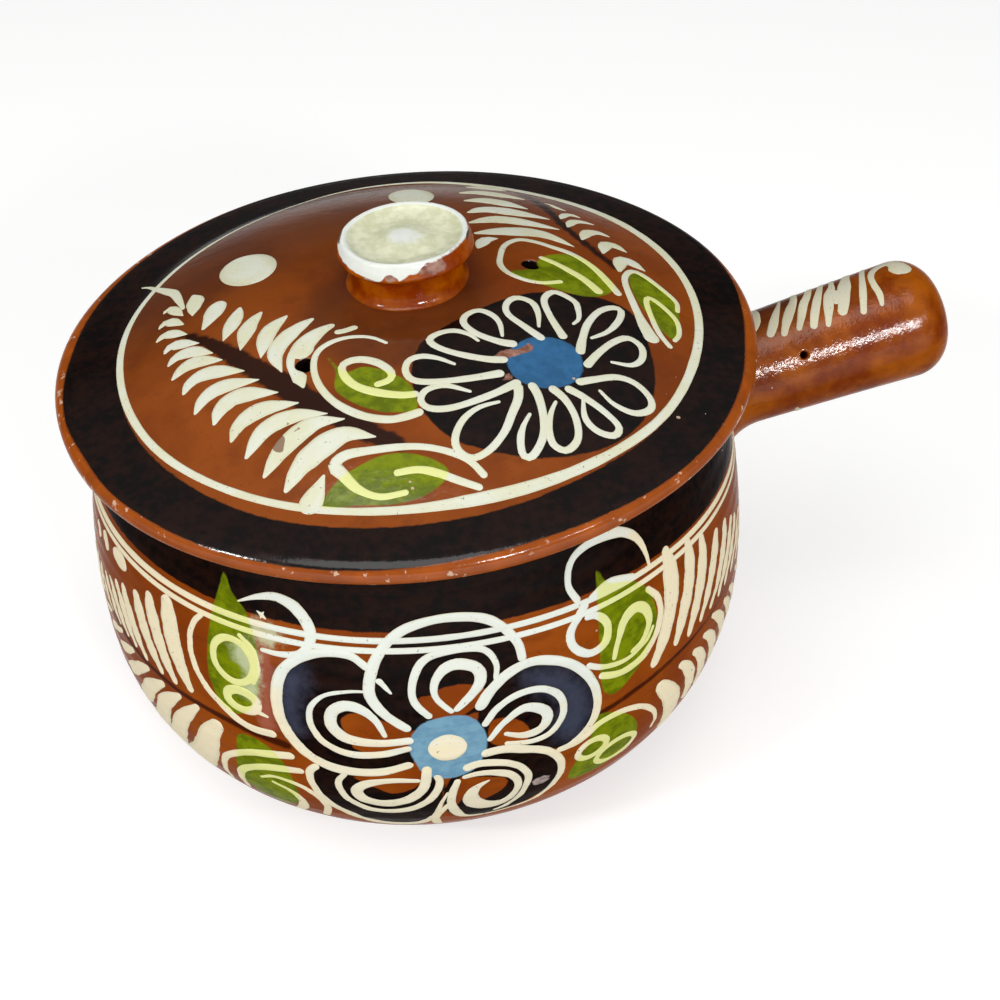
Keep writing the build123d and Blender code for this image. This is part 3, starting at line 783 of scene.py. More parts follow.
# Fronds: each leaflet is one press of a loaded brush. Upper ones start at the tip, lower ones at the midrib.
frondStrokes = (
    ((4.1, 7.5, 7.1, 5.5, 2.5), ((-242.7, 26.8), (-242, 33.2), (-240.7, 42.2), (-238.2, 50.2),
     (-235.4, 56.8))),
    ((3.0, 5.9, 5.7, 4.8, 2.1), ((-250.8, 30), (-250, 35.2), (-247.8, 43.2), (-244.8, 51.2),
     (-241.6, 57.6))),
    ((3.0, 5.6, 5.5, 4.6, 1.8), ((-257.6, 33.6), (-256.2, 39.2), (-253.8, 46.2), (-250.6, 52.2),
     (-247.4, 57.6))),
    ((2.5, 4.9, 5.0, 4.1, 1.6), ((-265.6, 36.6), (-263.6, 41.7), (-260.8, 47.7), (-257.8, 53.2),
     (-254.8, 57.6))),
    ((2.3, 4.3, 4.3, 1.6), ((-270.6, 38.6), (-267.6, 44.2), (-264.6, 50.2), (-260.6, 56.8))),
    ((2.1, 3.9, 3.9, 1.4), ((-275.8, 41), (-272.2, 46.7), (-269, 51.7), (-265.4, 56.4))),
    ((1.8, 3.5, 3.4, 1.4), ((-280.8, 43.2), (-277, 48.2), (-274, 52.2), (-270.8, 56))),
    ((1.8, 3.3, 1.4), ((-286.7, 44.2), (-282.6, 50.2), (-277.2, 55.7))),
    ((1.7, 3.1, 1.3), ((-292.2, 44.7), (-288.2, 49.7), (-284.2, 54.7))),
    ((1.6, 2.8, 1.1), ((-298.2, 45.2), (-295.2, 49.2), (-291.2, 53.7))),
    ((1.4, 2.6, 1.1), ((-305.2, 46.7), (-301.8, 49.4), (-298.2, 52.2))),
    ((4.2, 7.8, 9.6, 10.9, 11.2, 9.1), ((-226.4, 63.1), (-231, 70.2), (-234.8, 79.3), (-241.4, 89.8),
     (-251.4, 99.8), (-260.4, 105.8))),
    ((1.8, 4.9, 6.5, 7.5, 8.1, 7.5), ((-233.8, 61), (-238.2, 66.2), (-243, 72.8), (-247, 80.8),
     (-252.4, 89.3), (-260.4, 96.8))),
    ((1.8, 4.8, 6.1, 6.8, 7.0, 6.5), ((-240.6, 61.2), (-245.4, 65.4), (-250, 70.8), (-252.8, 76.8),
     (-256.4, 82.8), (-264.4, 90.8))),
    ((1.8, 4.5, 5.9, 6.2, 5.7), ((-247.8, 61.4), (-252.8, 65.4), (-257.2, 69.8), (-260.4, 74.8),
     (-266.4, 81.8))),
    ((1.7, 4.2, 5.1, 4.7), ((-255, 60.6), (-260.4, 64.4), (-265.4, 68.8), (-271.4, 73.8))),
    ((1.6, 3.9, 3.9), ((-263.2, 59.8), (-268.4, 63.4), (-275.4, 67.8))),
    ((1.4, 3.2, 3.1), ((-270.2, 57.8), (-274.4, 60.4), (-281.4, 63.8))),
    ((1.3, 3.0, 2.5), ((-279.2, 57.2), (-285.2, 60), (-290.4, 61.8))),
    ((1.1, 2.6, 2.3), ((-286.7, 55.2), (-292.2, 57.2), (-298.2, 59.2))),
    ((2.2, 6.7, 6.9, 6.0, 5.4, 2.8), ((-92.4, 21.6), (-91.2, 29.2), (-91.6, 38.2), (-93.8, 45.6),
     (-97.2, 52.6), (-101, 58.2))),
    ((1.9, 5.6, 5.8, 5.4, 2.4), ((-82.3, 24), (-82, 32.2), (-83.6, 40.2), (-86.8, 47.6), (-91.2, 57))),
    ((2.6, 5.8, 5.4, 4.8, 1.9), ((-74.8, 28.8), (-75, 35.2), (-76.8, 42.2), (-80.2, 49.6), (-85, 58.4))),
    ((3.0, 5.3, 4.8, 3.7, 1.5), ((-65.4, 33.4), (-67.2, 39.2), (-70.4, 45.6), (-74.4, 52.1),
     (-78.6, 57.8))),
    ((3.0, 4.9, 4.3, 3.2, 1.4), ((-57.8, 35.6), (-59.8, 41.7), (-63.4, 47.6), (-67.8, 53.6),
     (-72.6, 57.8))),
    ((3.0, 4.6, 3.9, 1.4), ((-51.4, 39.4), (-54.8, 45.2), (-59.4, 50.6), (-66.6, 58.1))),
    ((2.8, 4.2, 3.7, 1.4), ((-45.8, 42.8), (-50.4, 48.2), (-55.4, 53.2), (-61.2, 58.2))),
    ((2.4, 3.9, 1.4), ((-38.8, 46.6), (-45.8, 52.6), (-54.8, 58.6))),
    ((2.2, 3.3, 1.3), ((-32.8, 50.6), (-39.8, 54.6), (-47.8, 59.6))),
    ((1.7, 2.9, 1.2), ((-26.8, 54.6), (-33.8, 57.6), (-41.2, 60.6))),
    ((3.4, 6.2, 7.6, 8.3, 8.3, 8.0), ((-98.6, 66.6), (-95.8, 70.2), (-92.6, 75.2), (-90.2, 81.2),
     (-88.8, 89.2), (-88.2, 96.2))),
    ((2.1, 4.3, 5.4, 5.6, 5.5), ((-89, 66), (-85.8, 69.2), (-83, 74.2), (-81.4, 80.2), (-80.6, 88.2))),
    ((1.8, 4.3, 5.2, 5.3, 5.1), ((-82, 66.8), (-78.4, 70.2), (-75.8, 75.2), (-74.2, 81.2), (-73.6, 88.2))),
    ((1.7, 4.0, 5.2, 5.2, 4.8), ((-76.4, 65), (-72.6, 68), (-69.4, 72.6), (-67.4, 78.2), (-66.2, 84.2))),
    ((1.5, 3.8, 4.9, 5.1, 4.6), ((-70.8, 62), (-66.8, 65.2), (-63.2, 69.6), (-60.2, 75.2), (-58.8, 81.2))),
    ((1.5, 3.6, 4.5, 4.4), ((-61, 64.4), (-57.6, 67.8), (-54.6, 72.2), (-52.2, 77.2))),
    ((1.5, 3.3, 4.3, 4.1), ((-55.4, 64.4), (-51.6, 67.6), (-48.2, 71.8), (-45.6, 76.2))),
    ((1.4, 3.1, 3.7), ((-47.2, 63.7), (-42.2, 67.2), (-37.2, 70.7))),
    oval((-267, 29.4), 4.6, 3.1, 0), oval((-277.8, 30.2), 3.0, 2.4, 60), oval((-285.2, 31.2), 2.6, 2.0, 60),
)
halfTurn = math.pi * girth
# The painted lines under the black band, as (mm round, mm down)
bandEdge = (
    (-304, 19.2), (-270, 19.5), (-200, 20.9), (-140, 21.2), (-95, 22.4), (-60, 24), (-40, 25.2), (0, 22.6),
)
upperLine = ((-304, 22.2), (-270, 22.4), (-220, 23.1), (-200, 23.3), (-180, 23.6), (-150, 23.7), (-120, 24),
             (-95, 24.4), (-60, 26), (-40, 27), (0, 24.6))
lowerLine = ((-304, 25.1), (-270, 25.4), (-220, 26.2), (-200, 26.4), (-180, 26.6), (-150, 26.8), (-120, 27.3),
             (-95, 27.2), (-60, 29), (-40, 30.6), (0, 28))


# A height read round the front half, repeated for the back half
def alongWall(pairs, mmRound):
    both = [(math.degrees(a / girth), v) for a, v in pairs]
    both += [(degree + 180, v) for degree, v in both[:-1]]
    return around(both, np.degrees(np.asarray(mmRound) / girth), 6)


def turnedRound(points, mmRound):
    return tuple((a + mmRound, s) for a, s in points)


def paintedTwice(outlines):
    return [turnedRound(outline, turn) for outline in outlines for turn in (0, halfTurn)]


# Half section of the bowl: under the foot, up the outer wall, over the round rim, down inside to the floor
def bowlSection():
    b = bowl
    lower = np.linspace(0, np.pi / 2, 46)
    outerFoot = np.stack([b["baseRadius"] + (b["bellyRadius"] - b["baseRadius"]) * np.sin(lower),
                          b["bellyHeight"] * (1 - np.cos(lower))], 1)
    rimLevel = b["rimTop"] - b["rimRound"]
    z = np.linspace(b["bellyHeight"], rimLevel, 62)[1:]
    outer = np.stack([wallRadius(z), z], 1)
    mouth = b["rimRadius"] - b["wall"]
    rimOut = arc((wallRadius(b["rimTop"]) - b["rimRound"] + 0.6, rimLevel), b["rimRound"], 12, 90, 7)
    rimIn = arc((mouth + b["rimRound"] - 0.6, rimLevel), b["rimRound"], 90, 168, 7)
    zIn = np.linspace(rimLevel - 1, b["bellyHeight"], 26)
    inner = np.stack([wallRadius(zIn) - b["wall"], zIn], 1)
    low = np.linspace(np.pi / 2, 0, 24)[1:]
    innerFoot = np.stack([
        b["innerFloorRadius"] + (b["bellyRadius"] - b["wall"] - b["innerFloorRadius"]) * np.sin(low),
        b["bellyHeight"] - (b["bellyHeight"] - b["floor"]) * np.cos(low)], 1)
    foot = straight((0, 0.8), (b["baseRadius"] - 6, 0.8), 10)
    floor = straight((b["innerFloorRadius"] - 4, b["floor"]), (0, b["floor"]), 10)
    standing = [[b["baseRadius"] - 4, 0.0]]
    return np.concatenate([foot, standing, outerFoot, outer, rimOut, rimIn, inner, innerFoot, floor])


def bowlBend(x, y, z, distance, bearing):
    scale = 1 + wallPush(z, bearing) * smooth(20, 60, distance) / np.maximum(distance, 1)
    return x * scale, y * scale, z + crooked(x, z)


def makeBowl():
    piece = turnedShell("bowlBody", bowlSection(), bowl["columns"], bowlBend)
    p = vertexPlaces(piece)
    r = np.hypot(p[:, 0], p[:, 1])
    mmRound = np.arctan2(p[:, 1], p[:, 0]) * girth
    trueZ = p[:, 2] - crooked(p[:, 0], p[:, 2])
    outside = (r > wallRadius(trueZ) - 1.0) & (p[:, 2] > 1.5)
    down = np.interp(-p[:, 2], -meridianZ, meridianRun)
    down = np.where(p[:, 2] > meridianTop, meridianTop - p[:, 2], down)
    places = np.stack([mmRound, down], 1)
    fullTurn = np.array([2 * halfTurn, 0])
    copies = np.concatenate([places, places + fullTurn, places - fullTurn])

    def overWrap(distance):
        return np.where(outside, distance.reshape(3, -1).max(0), far)

    def painted(outlines):
        return overWrap(shapesDistance(copies, outlines))

    petals = painted(paintedTwice(frontFlower["petals"]))
    opened = painted(paintedTwice(frontFlower["bare"]))
    band = np.minimum(alongWall(bandEdge, mmRound) - down, down + 2.2)
    band = np.where(outside, np.clip(band, far, -far), far)
    stems = np.full(len(p), far)
    for line, widths in frontFlower["stems"]:
        for turn in (0, halfTurn):
            stems = np.maximum(stems, overWrap(washDistance(copies, turnedRound(line, turn), widths)))
    addLayers(piece, {
        "black": np.maximum(np.minimum(petals, -opened), band),
        "green": np.minimum(painted(paintedTwice(frontFlower["leaves"])), -petals),
        "blue": painted(paintedTwice([frontFlower["centre"]])),
        "stem": stems,
        "bare": np.where(p[:, 2] < 3.2, 1.5 - p[:, 2], far),
        # smear and worn are real marks; the two sheen layers are painted reflections
        **{key: painted(frontFlower[key]) for key in ("smear", "paintedSheen", "rosySheen", "worn")},
    })
    # The washes include a painted pinkish sheen on the clay and a painted slate-blue sheen on the black
    # petals
    piece.data.materials.append(glazedEarthenware(
        "leadGlazedTerracottaWall", clayTones,
        (rosySheenWash, wallStemWash, blackWash, paintedSheenWash, greenWash, smearWash, paleBlueWash, bald)))
    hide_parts("bowl")
    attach(piece, "pot")
    print("bowl", len(p), "points")


def makeWallSlip():
    strokes = []
    for turn in (0, halfTurn):
        for stroke in petalStrokes + leafStrokes + frondStrokes:
            strokes.append((stroke[0], turnedRound(stroke[1], turn)) + stroke[2:])
    mmRound = np.linspace(-halfTurn - 1, halfTurn + 1, 61)
    for pairs, width in ((upperLine, 2.3), (lowerLine, 2.0)):
        points = np.stack([mmRound, alongWall(pairs, mmRound)], 1)
        strokes.append(((width, 0.86 * width, 1.08 * width, width), points))
    leaves, petals = paintedTwice(frontFlower["leaves"]), paintedTwice(frontFlower["petals"])
    washes = {"green": leaves, "black": petals, "worn": []}
    piece = slipStrokes("wallSlip", wallPoint, strokes, washes, flip=True)
    p = vertexPlaces(piece)
    mmRound = np.arctan2(p[:, 1], p[:, 0]) * girth
    # Painted reflection: the slip's cool bluish tint is laid on strongest on the flowers and high on the wall
    fromFlower = np.abs(np.abs(mmRound) - 160)  # the slip is whitest on the flowers
    addLayers(piece, {"cool": 0.45 - 0.8 * smooth(25, 75, fromFlower) - 0.8 * smooth(95, 35, p[:, 2])})
    piece.data.materials.append(creamSlip("creamSlipWall", litWallCream))
    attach(piece, "pot")


# Lid

lidRing = (  # bearing, distance of the cream ring
    (0, 83), (-30, 83.5), (-48, 84.8), (-70, 83.3), (-90, 82.3), (-120, 83), (-150, 82.6), (-175, 80.8),
    (165, 80), (150, 78.4), (130, 77.6), (115, 79), (100, 83.5), (90, 85), (75, 85), (62, 82.5), (50, 81),
    (30, 82.5),
)
lidRingWidth = (  # bearing, width
    (0, 2.6), (-30, 2.6), (-60, 2.8), (-85, 4.0), (-100, 2.4), (-130, 2.1), (180, 2.2), (150, 2.0),
    (128, 1.4), (112, 0.7), (98, 0.8), (75, 1.6), (55, 3.4), (30, 3.4),
)
bandGap = (  # clay left open between the ring and the black band
    (0, 0.6), (-40, 0.8), (-70, 2.6), (-85, 4.6), (-105, 5.0), (-125, 4.6), (-145, 2.4), (-170, 0.8),
    (150, 0.6), (100, 0.6), (60, 0.8),
)
bandReach = (  # bearing, outer edge of the black band, counted over the round of the lip
    (0, 98.8), (10, 100), (20, 100.8), (30, 101.4), (50, 101.8), (90, 101.4), (120, 97.4), (150, 96.2),
    (170, 95.8), (180, 97.3), (-170, 98.6), (-160, 97.8), (-150, 99.7), (-140, 100.1), (-130, 101),
    (-120, 101.4), (-110, 101.4), (-100, 101), (-90, 99.9), (-80, 99.3), (-70, 99.4), (-60, 100),
    (-50, 100), (-40, 98.9), (-30, 97.7), (-20, 96.3), (-10, 97),
)
lidShapes = {
    "flower": (
        (-5, -50), (-4.5, -42), (-1, -33.5), (6, -27.5), (15, -22.5), (25, -18), (35, -15.5), (45, -16),
        (54, -18), (60, -23), (61.5, -32), (60.5, -43), (58, -53), (52, -63), (44, -69.5), (34, -73),
        (22, -73.5), (11, -70.5), (2, -65.5), (-3, -58),
    ),
    "centre": (
        (20.5, -43), (23, -38), (29, -34.8), (35.5, -35.2), (40, -39), (40.6, -44.5), (38, -50),
        (32, -52.8), (25.5, -52), (21.5, -48.5),
    ),
    "worn": (((17, -41.5), (20, -39), (25, -38.4), (28.5, -36.6), (28, -39.6), (23, -41), (19, -42.6)),
             ((18, -49), (20, -47), (20.6, -49.4))),
    "chipped": (((-43, -51.8), (-40.6, -50.6), (-39.4, -53), (-40.6, -56.4), (-42.8, -55.2)),
                ((-37, -51.4), (-35.6, -50.6), (-35.4, -52.2)),
                ((-39, -48.6), (-37.8, -47.8), (-37.6, -49.2))),
    "leaves": (
        ((30.5, -4.5), (36, -3.5), (41, 3), (45, 5), (50, 5.2), (55, 1.5), (58, -6), (58.5, -12), (54, -16),
         (49, -17), (44, -15.5), (37, -11), (32, -7.5)),
        ((64.7, -5.3), (67.3, -2), (70.7, -4), (74.7, -11.3), (75.7, -16.7), (73.3, -26), (70.3, -32.7),
         (68, -31.3), (65.3, -24.7), (63.7, -14.7)),
        ((-25, -30), (-22.7, -34.7), (-20.7, -37.3), (-16.7, -36.7), (-12.7, -38.7), (-8.7, -42),
         (-5.7, -46), (-5, -50.7), (-6, -54.7), (-13.3, -53.3), (-18.7, -50), (-23, -45.3), (-24.7, -41.3),
         (-23.5, -36)),
        ((-33.3, -75), (-29.3, -70), (-24, -67.3), (-16, -65.7), (-8.7, -67.3), (-3.3, -70.7), (-1.3, -74),
         (-4.7, -77.3), (-10.7, -79.2), (-17.3, -79), (-25.3, -77)),
    ),
    "stems": (
        (((-66.5, 4.5), (-60, -1.5), (-54, -10), (-49.3, -17.3), (-44, -26), (-38.7, -33.3), (-34, -40.7),
          (-29.3, -46), (-23.3, -52.7), (-17.3, -59.3), (-12, -63.3)), (0.8, 3.6, 5.6, 6.6, 7, 6.4, 4.4)),
        (((47.7, 60.7), (50, 51.3), (51.7, 42), (52.7, 32), (54, 23.3), (56.7, 14), (59.3, 6.7), (62, 0)),
         (2.2, 2.8, 3.0, 2.8, 2.4)),
    ),
}
lidPetals = (
    ((38, -35.5), (36.3, -26), (36.5, -18.7), (40.3, -15.3), (44.7, -19.3), (45, -22.7), (44, -27.3),
     (41.7, -29.7)),
    ((32.3, -35.7), (28.7, -30.7), (25, -24.7), (25.7, -20), (29, -17.7), (32.7, -20), (33.3, -24.7),
     (32.1, -30.8)),
    ((24.7, -37), (20, -35.3), (14.7, -31.3), (12.5, -26.7), (13.7, -23), (17.3, -21.5), (20.3, -24),
     (21.9, -28), (21.5, -33.7)),
    ((21, -42.3), (15.3, -41.3), (8, -38), (3.3, -34.3), (2.3, -31.3), (5.3, -29.3), (9.3, -29.2),
     (13, -31.7), (15, -34.7)),
    ((19, -46.7), (10, -47.3), (1, -46.8), (-4.5, -45), (-6, -41.5), (-4.5, -38), (-1, -37.2), (3, -38.8),
     (7.2, -42)),
    ((22.5, -50), (14, -53.5), (4, -55.8), (-2, -55), (-4, -52), (-2, -49), (3, -48.5), (9.3, -51.8)),
    ((21.7, -50.7), (20.7, -55.3), (18, -60), (14.7, -65.3), (10, -69.7), (5.3, -71.3), (2.3, -68.7),
     (2.3, -64.7), (5.3, -60), (10, -57), (15.9, -55.9)),
    ((25, -50.7), (26, -55.3), (25.7, -62), (24, -68), (20.3, -72.7), (18, -72.3), (18.3, -68), (20, -64),
     (22.7, -60.3)),
    ((29.7, -52.3), (32.7, -56.7), (34, -62.7), (33, -68.7), (29.3, -71.9), (26.3, -70), (26.3, -65.3),
     (28, -60.7), (30.3, -57)),
    ((33.7, -52.7), (37.7, -56), (42, -60.7), (44.7, -65.3), (42.7, -68), (38.7, -66.7), (36.5, -62.7),
     (37.5, -56.7)),
    ((37, -51.3), (42, -50.3), (48.7, -49.3), (53.3, -51.3), (55.9, -56), (54.7, -59.7), (50, -61),
     (45.3, -58.3), (42.5, -53.7)),
    ((41, -45.9), (46, -40.7), (51.3, -36.3), (56, -34.3), (58.8, -37.3), (57.7, -42), (54, -44.7),
     (48.3, -43.9)),
    ((40.7, -41.3), (42.7, -36), (46, -29.3), (50.7, -23.7), (55.3, -21.5), (57.3, -22.7), (55.3, -27.3),
     (50.7, -32.3), (45.2, -35.2)),
)
lidLeafStrokes = (
    ((1.6, 1.8, 2.0, 2.2, 2.5), ((44, -10), (38, -10.8), (33, -9), (29.5, -5), (28.3, 0), (29.5, 5),
     (32, 10.5), (36.5, 14), (41, 13), (46, 9.5), (51, 5.5), (55, -1), (57.5, -9), (59, -15.5))),
    ((1.8, 2.4, 3.0), ((40.3, 3.3), (44, 0), (47.3, -4), (50.7, -8.7), (53.7, -15.3))),
    ((5.0, 2.6, 2.2, 2.0, 1.8, 1.4), ((63.3, -35.3), (62.3, -28), (62.1, -18), (62.7, -8), (64.7, -3),
     (67.3, -1), (70, -3), (73.3, -8.7), (75.9, -14.7), (74.7, -20))),
    ((1.8, 1.8, 1.8, 1.4), ((67.7, -36.7), (66, -31.3), (65.7, -24.7), (66.3, -17.3), (68, -14.7),
     (70.7, -18), (73, -24), (72, -30), (69.3, -33.7))),
    ((1.0, 1.8, 2.0, 2.4, 2.5), ((-8.7, -30), (-12.7, -26), (-18, -24.3), (-24, -25), (-27.7, -28),
     (-29, -34), (-28, -40.7), (-24.7, -47.3), (-19.3, -52.7), (-13.3, -55.7), (-8.7, -56), (-4, -55.3))),
    ((2.0, 2.5, 2.5, 2.5, 2.2), ((-14.7, -44), (-10.7, -43.3), (-9.7, -40.7), (-12.7, -36.3),
     (-17.3, -33.7), (-21.3, -34.3), (-21.7, -38), (-19.3, -42.7), (-14.7, -46.3), (-8.7, -49),
     (-4, -49.7))),
    ((1.6, 2.0, 3.5, 2.4, 2.0, 2.0, 2.0), ((-12, -77), (-19, -76.5), (-24, -73), (-27, -68), (-28.5, -65),
     (-25.5, -63), (-19, -63.5), (-9, -65), (-2, -67.5), (4, -71.5), (7.5, -77))),
    ((1.8, 2.2, 2.2, 2.0), ((-14.7, -71.3), (-8.7, -71.7), (-4, -73.7), (0.7, -76.7), (6, -79.7))),
    ((7.5, 5.4, 0.6), ((-37.8, -75.6), (-34.6, -71.4), (-31.4, -66.6))),
    ((0.7, 2.0, 3.0, 2.6, 1.2), ((-73.3, 43.3), (-71, 41.7), (-68.7, 37.3), (-65, 30.7), (-63.3, 27.3),
     (-62, 20.7), (-61, 14.7))),
    ((2.2, 2.2), ((-21.7, -21), (-18.5, -20.8), (-15.3, -19.7))),
    ((1.6, 4.4, 6.6, 8.0), ((-21.2, -17), (-26, -19.5), (-30.4, -23.2), (-31.8, -27.8))),
    ((2.6, 2.4, 1.8, 4.4, 0.6), ((-33, -23.6), (-34.4, -27.2), (-34.6, -31), (-33, -34.8), (-32.4, -38.6))),
    ((4.6, 6.4, 6.0, 3.4, 0.8), ((-50.6, 10.8), (-52.2, 6.6), (-54.2, 2.8), (-56.4, -0.8))),
    ((0.4, 1.8, 2.0, 0.4), ((53, 48.5), (54.5, 47), (56, 43.6), (58, 41.5))),
    ((0.6, 2.6, 3.2, 2.4, 0.4), ((54, 32.4), (56.6, 36.8), (59, 37.4), (61, 35.5))),
    ((0.6, 3.0, 3.6, 2.6, 0.4), ((54.4, 25.4), (57.4, 30.6), (60.6, 31.6), (64, 30.2))),
    ((0.6, 3.2, 4.4, 3.2, 0.4), ((56.4, 16.2), (59.6, 22), (63, 23.4), (66.4, 21.2))),
    ((0.6, 3.4, 4.6, 3.4, 0.4), ((60.6, 8), (63, 14), (65.8, 14.8), (68.8, 11))),
    ((0.8, 3.8, 5.2, 4.0, 0.4), ((62.6, -2.4), (64.8, 4), (67.4, 5), (71.2, 0.2))),
)
lidLeaflets = (  # width, points from the blunt end to the tip at the midrib
    (6.5, ((-41.7, -68), (-35.3, -61.3), (-25.3, -57), (-17, -60))),
    (5.5, ((-46.3, -62), (-40, -55.3), (-32, -51.2), (-23.7, -52.3))),
    (5.0, ((-50, -54.7), (-44, -48), (-36, -46.8), (-27.7, -49.2))),
    (5.2, ((-53, -48), (-50, -43.3), (-44, -41.2), (-34.3, -43))),
    (5.2, ((-56.7, -40.3), (-54, -35.6), (-49, -33.8), (-39, -37.3))),
    (5.0, ((-61.3, -34), (-58, -29.6), (-53, -28.2), (-43.3, -30.5))),
    (5.0, ((-63.7, -25), (-61, -21.4), (-56, -20.8), (-46.7, -25.3))),
    (4.6, ((-66.3, -17.3), (-62.7, -14.4), (-59, -14.2), (-52, -17.7))),
    (4.2, ((-67, -10.7), (-64.2, -8.3), (-60, -8.9), (-54.3, -13.3))),
    (3.8, ((-67.7, -4.3), (-65, -2.2), (-57.7, -6.3))),
    (3.6, ((-69.7, 3.3), (-66.5, 4.8), (-60.7, 0.3))),
    (3.4, ((-68.7, 9.7), (-66, 11.4), (-61.3, 6))),
    (3.2, ((-67, 17.3), (-65, 18.6), (-61.3, 11))),
    (5.0, ((-58, 21), (-57.5, 16), (-58.7, 8.7))),
    (4.6, ((-45.2, 3.4), (-47.4, -2.2), (-51.2, -9.8))),
    (4.9, ((-39.6, -2.6), (-43.8, -7.6), (-47, -16.6))),
    (5.1, ((-33, -8.2), (-38.8, -13), (-42, -22.6))),
    (5.3, ((-26.2, -12.4), (-34.2, -17.4), (-38, -23), (-37.2, -30.7))),
    (6.0, ((32, 70), (38, 69), (44, 64))),
    (6.0, ((27.7, 59.3), (35.3, 59.3), (47.3, 51.3))),
    (6.0, ((27.3, 48.7), (35.3, 48), (45.7, 40))),
    (6.2, ((26, 36), (34, 38.4), (50.3, 31))),
    (5.6, ((24.7, 27.3), (35.3, 29.3), (51.3, 22.7))),
    (6.0, ((24.7, 19.3), (35.3, 20), (44.7, 18.4), (52.7, 10.7))),
    (4.0, ((24, 10.5), (27, 14.4), (31, 15))),
)
lidDots = (oval((-41.3, 24.3), 10.6, 8.4, 108), oval((12.5, 59), 11, 7.2, 92))


def lidSection():
    d = lid
    seat = bowl["rimTop"]
    shoulder = d["radius"] - d["lipReach"]
    dome, border = np.linspace(0, d["creaseRadius"], 78), np.linspace(d["creaseRadius"], shoulder, 13)
    top = np.concatenate([dome, border[1:]])
    skin = np.stack([top, lidHeight(top)], 1)
    a = np.radians(np.linspace(8, 90, 13))
    outerTop = np.stack([shoulder + d["lipReach"] * np.sin(a),
                         lidHeight(shoulder) - 0.2 - d["lipFall"] * (1 - np.cos(a))], 1)
    outerLow = arc((d["radius"] - d["lipRound"], seat + d["lipRound"]), d["lipRound"], 0, -90, 9)
    outer, turn = d["collarRadius"], d["collarRound"]
    inner = outer - d["collarWall"]
    footLevel = d["collarFoot"] + turn
    collarTop = straight((d["radius"] - d["lipRound"] - 3, seat), (outer + 0.8, seat), 8)
    side = straight((outer, seat - 0.8), (outer, footLevel), 5)
    footOut = arc((outer - turn, footLevel), turn, -10, -90, 6)
    footIn = arc((inner + turn, footLevel), turn, -100, -180, 6)
    hollow = d["domeRadius"] - d["wall"]
    reach = np.concatenate([[inner, inner - 0.6], np.linspace(inner - 3, 0, 34)])
    vault = np.stack([reach, d["domeCentre"] + np.sqrt(hollow**2 - reach**2)], 1)
    vault[0, 1] -= 0.8
    return np.concatenate([skin, outerTop, outerLow, collarTop, side, footOut, footIn, vault])


def ventPlace(distance, bearing):
    b = math.radians(bearing)
    return np.array([distance * math.cos(b), distance * math.sin(b)])


def lidBend(x, y, z, distance, bearing):
    wavy = 0.22 * np.sin(3 * bearing + 1.0) + 0.14 * np.sin(7 * bearing + 0.4)
    push = wavy * smooth(88, 99, distance) / np.maximum(distance, 1)
    return x * (1 + push), y * (1 + push), z + lean * x


def makeLid():
    piece = turnedShell("lidBody", lidSection(), lid["columns"], lidBend)
    for distance, bearing in lid["vents"]:
        tilt = math.asin(distance / lid["domeRadius"])
        axis = np.append(ventPlace(math.sin(tilt), bearing), math.cos(tilt))
        centre = lidPoint(ventPlace(distance, bearing))
        pierce(piece, ventCutter(centre, axis, lid["ventRadius"], lid["ventLip"], 2.2 * lid["wall"]))
    p = vertexPlaces(piece)
    places = p[:, :2]
    r = np.hypot(p[:, 0], p[:, 1])
    bearing = np.degrees(np.arctan2(p[:, 1], p[:, 0]))
    trueZ = p[:, 2] - lean * p[:, 0]
    shoulder = lid["radius"] - lid["lipReach"]
    upper = trueZ > np.where(r < shoulder, lidHeight(r) - 1.2, bowl["rimTop"] + 1.6)
    run = np.where(r < shoulder, r, r + np.maximum(lidHeight(shoulder) - trueZ, 0))
    inner = around(lidRing, bearing) + around(bandGap, bearing)
    outer = around(bandReach, bearing, 5)
    band = np.minimum(r - inner, outer - run)
    stems = np.full(len(p), far)
    for line, widths in lidShapes["stems"]:
        stems = np.maximum(stems, washDistance(places, line, widths))
    # Painted shade: the lid is darkened towards the back, and a painted shadow pools in front of the knob
    shadeTowardsBack = smooth(-20, 70, p[:, 1] - 0.35 * p[:, 0])
    knobShadow = 0.8 * smooth(34, 20, np.hypot(p[:, 0] + 4, p[:, 1] + 14))
    layers = {
        "black": np.maximum(band, shapeDistance(places, lidShapes["flower"])),
        "green": shapesDistance(places, lidShapes["leaves"]),
        "blue": shapeDistance(places, lidShapes["centre"]),
        "stem": stems,
        "worn": shapesDistance(places, lidShapes["worn"]),
        "paintedShade": 2 * np.maximum(shadeTowardsBack, knobShadow) - 1,
    }
    layers = {key: np.where(upper, np.clip(value, far, -far), far) for key, value in layers.items()}
    depth = lidHeight(r) - trueZ
    # Painted shade: the black slip colour is laid inside each vent's bore for the shade in the hole
    for distance, bearing in lid["vents"]:  # the bore of a vent is dark
        gap = np.linalg.norm(places - ventPlace(distance, bearing), axis=1)
        shadedBore = (gap < lid["ventRadius"] + 2) & (depth > 0.4) & (depth < 8)
        layers["black"] = np.where(shadedBore, 3.0, layers["black"])
    layers["bare"] = np.where(upper, np.clip(run - outer - 0.4, far, -far), np.where(r > 96, 2.0, far))
    addLayers(piece, layers)
    # The first wash on the lid lays on the painted shade
    piece.data.materials.append(glazedEarthenware(
        "leadGlazedTerracottaLid", lidTones, (paintedShadeWash, stemWash, blackWash, greenWash, blueWash, worn)))
    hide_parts("lid")
    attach(piece, "cover")
    print("lid", len(p), "points")


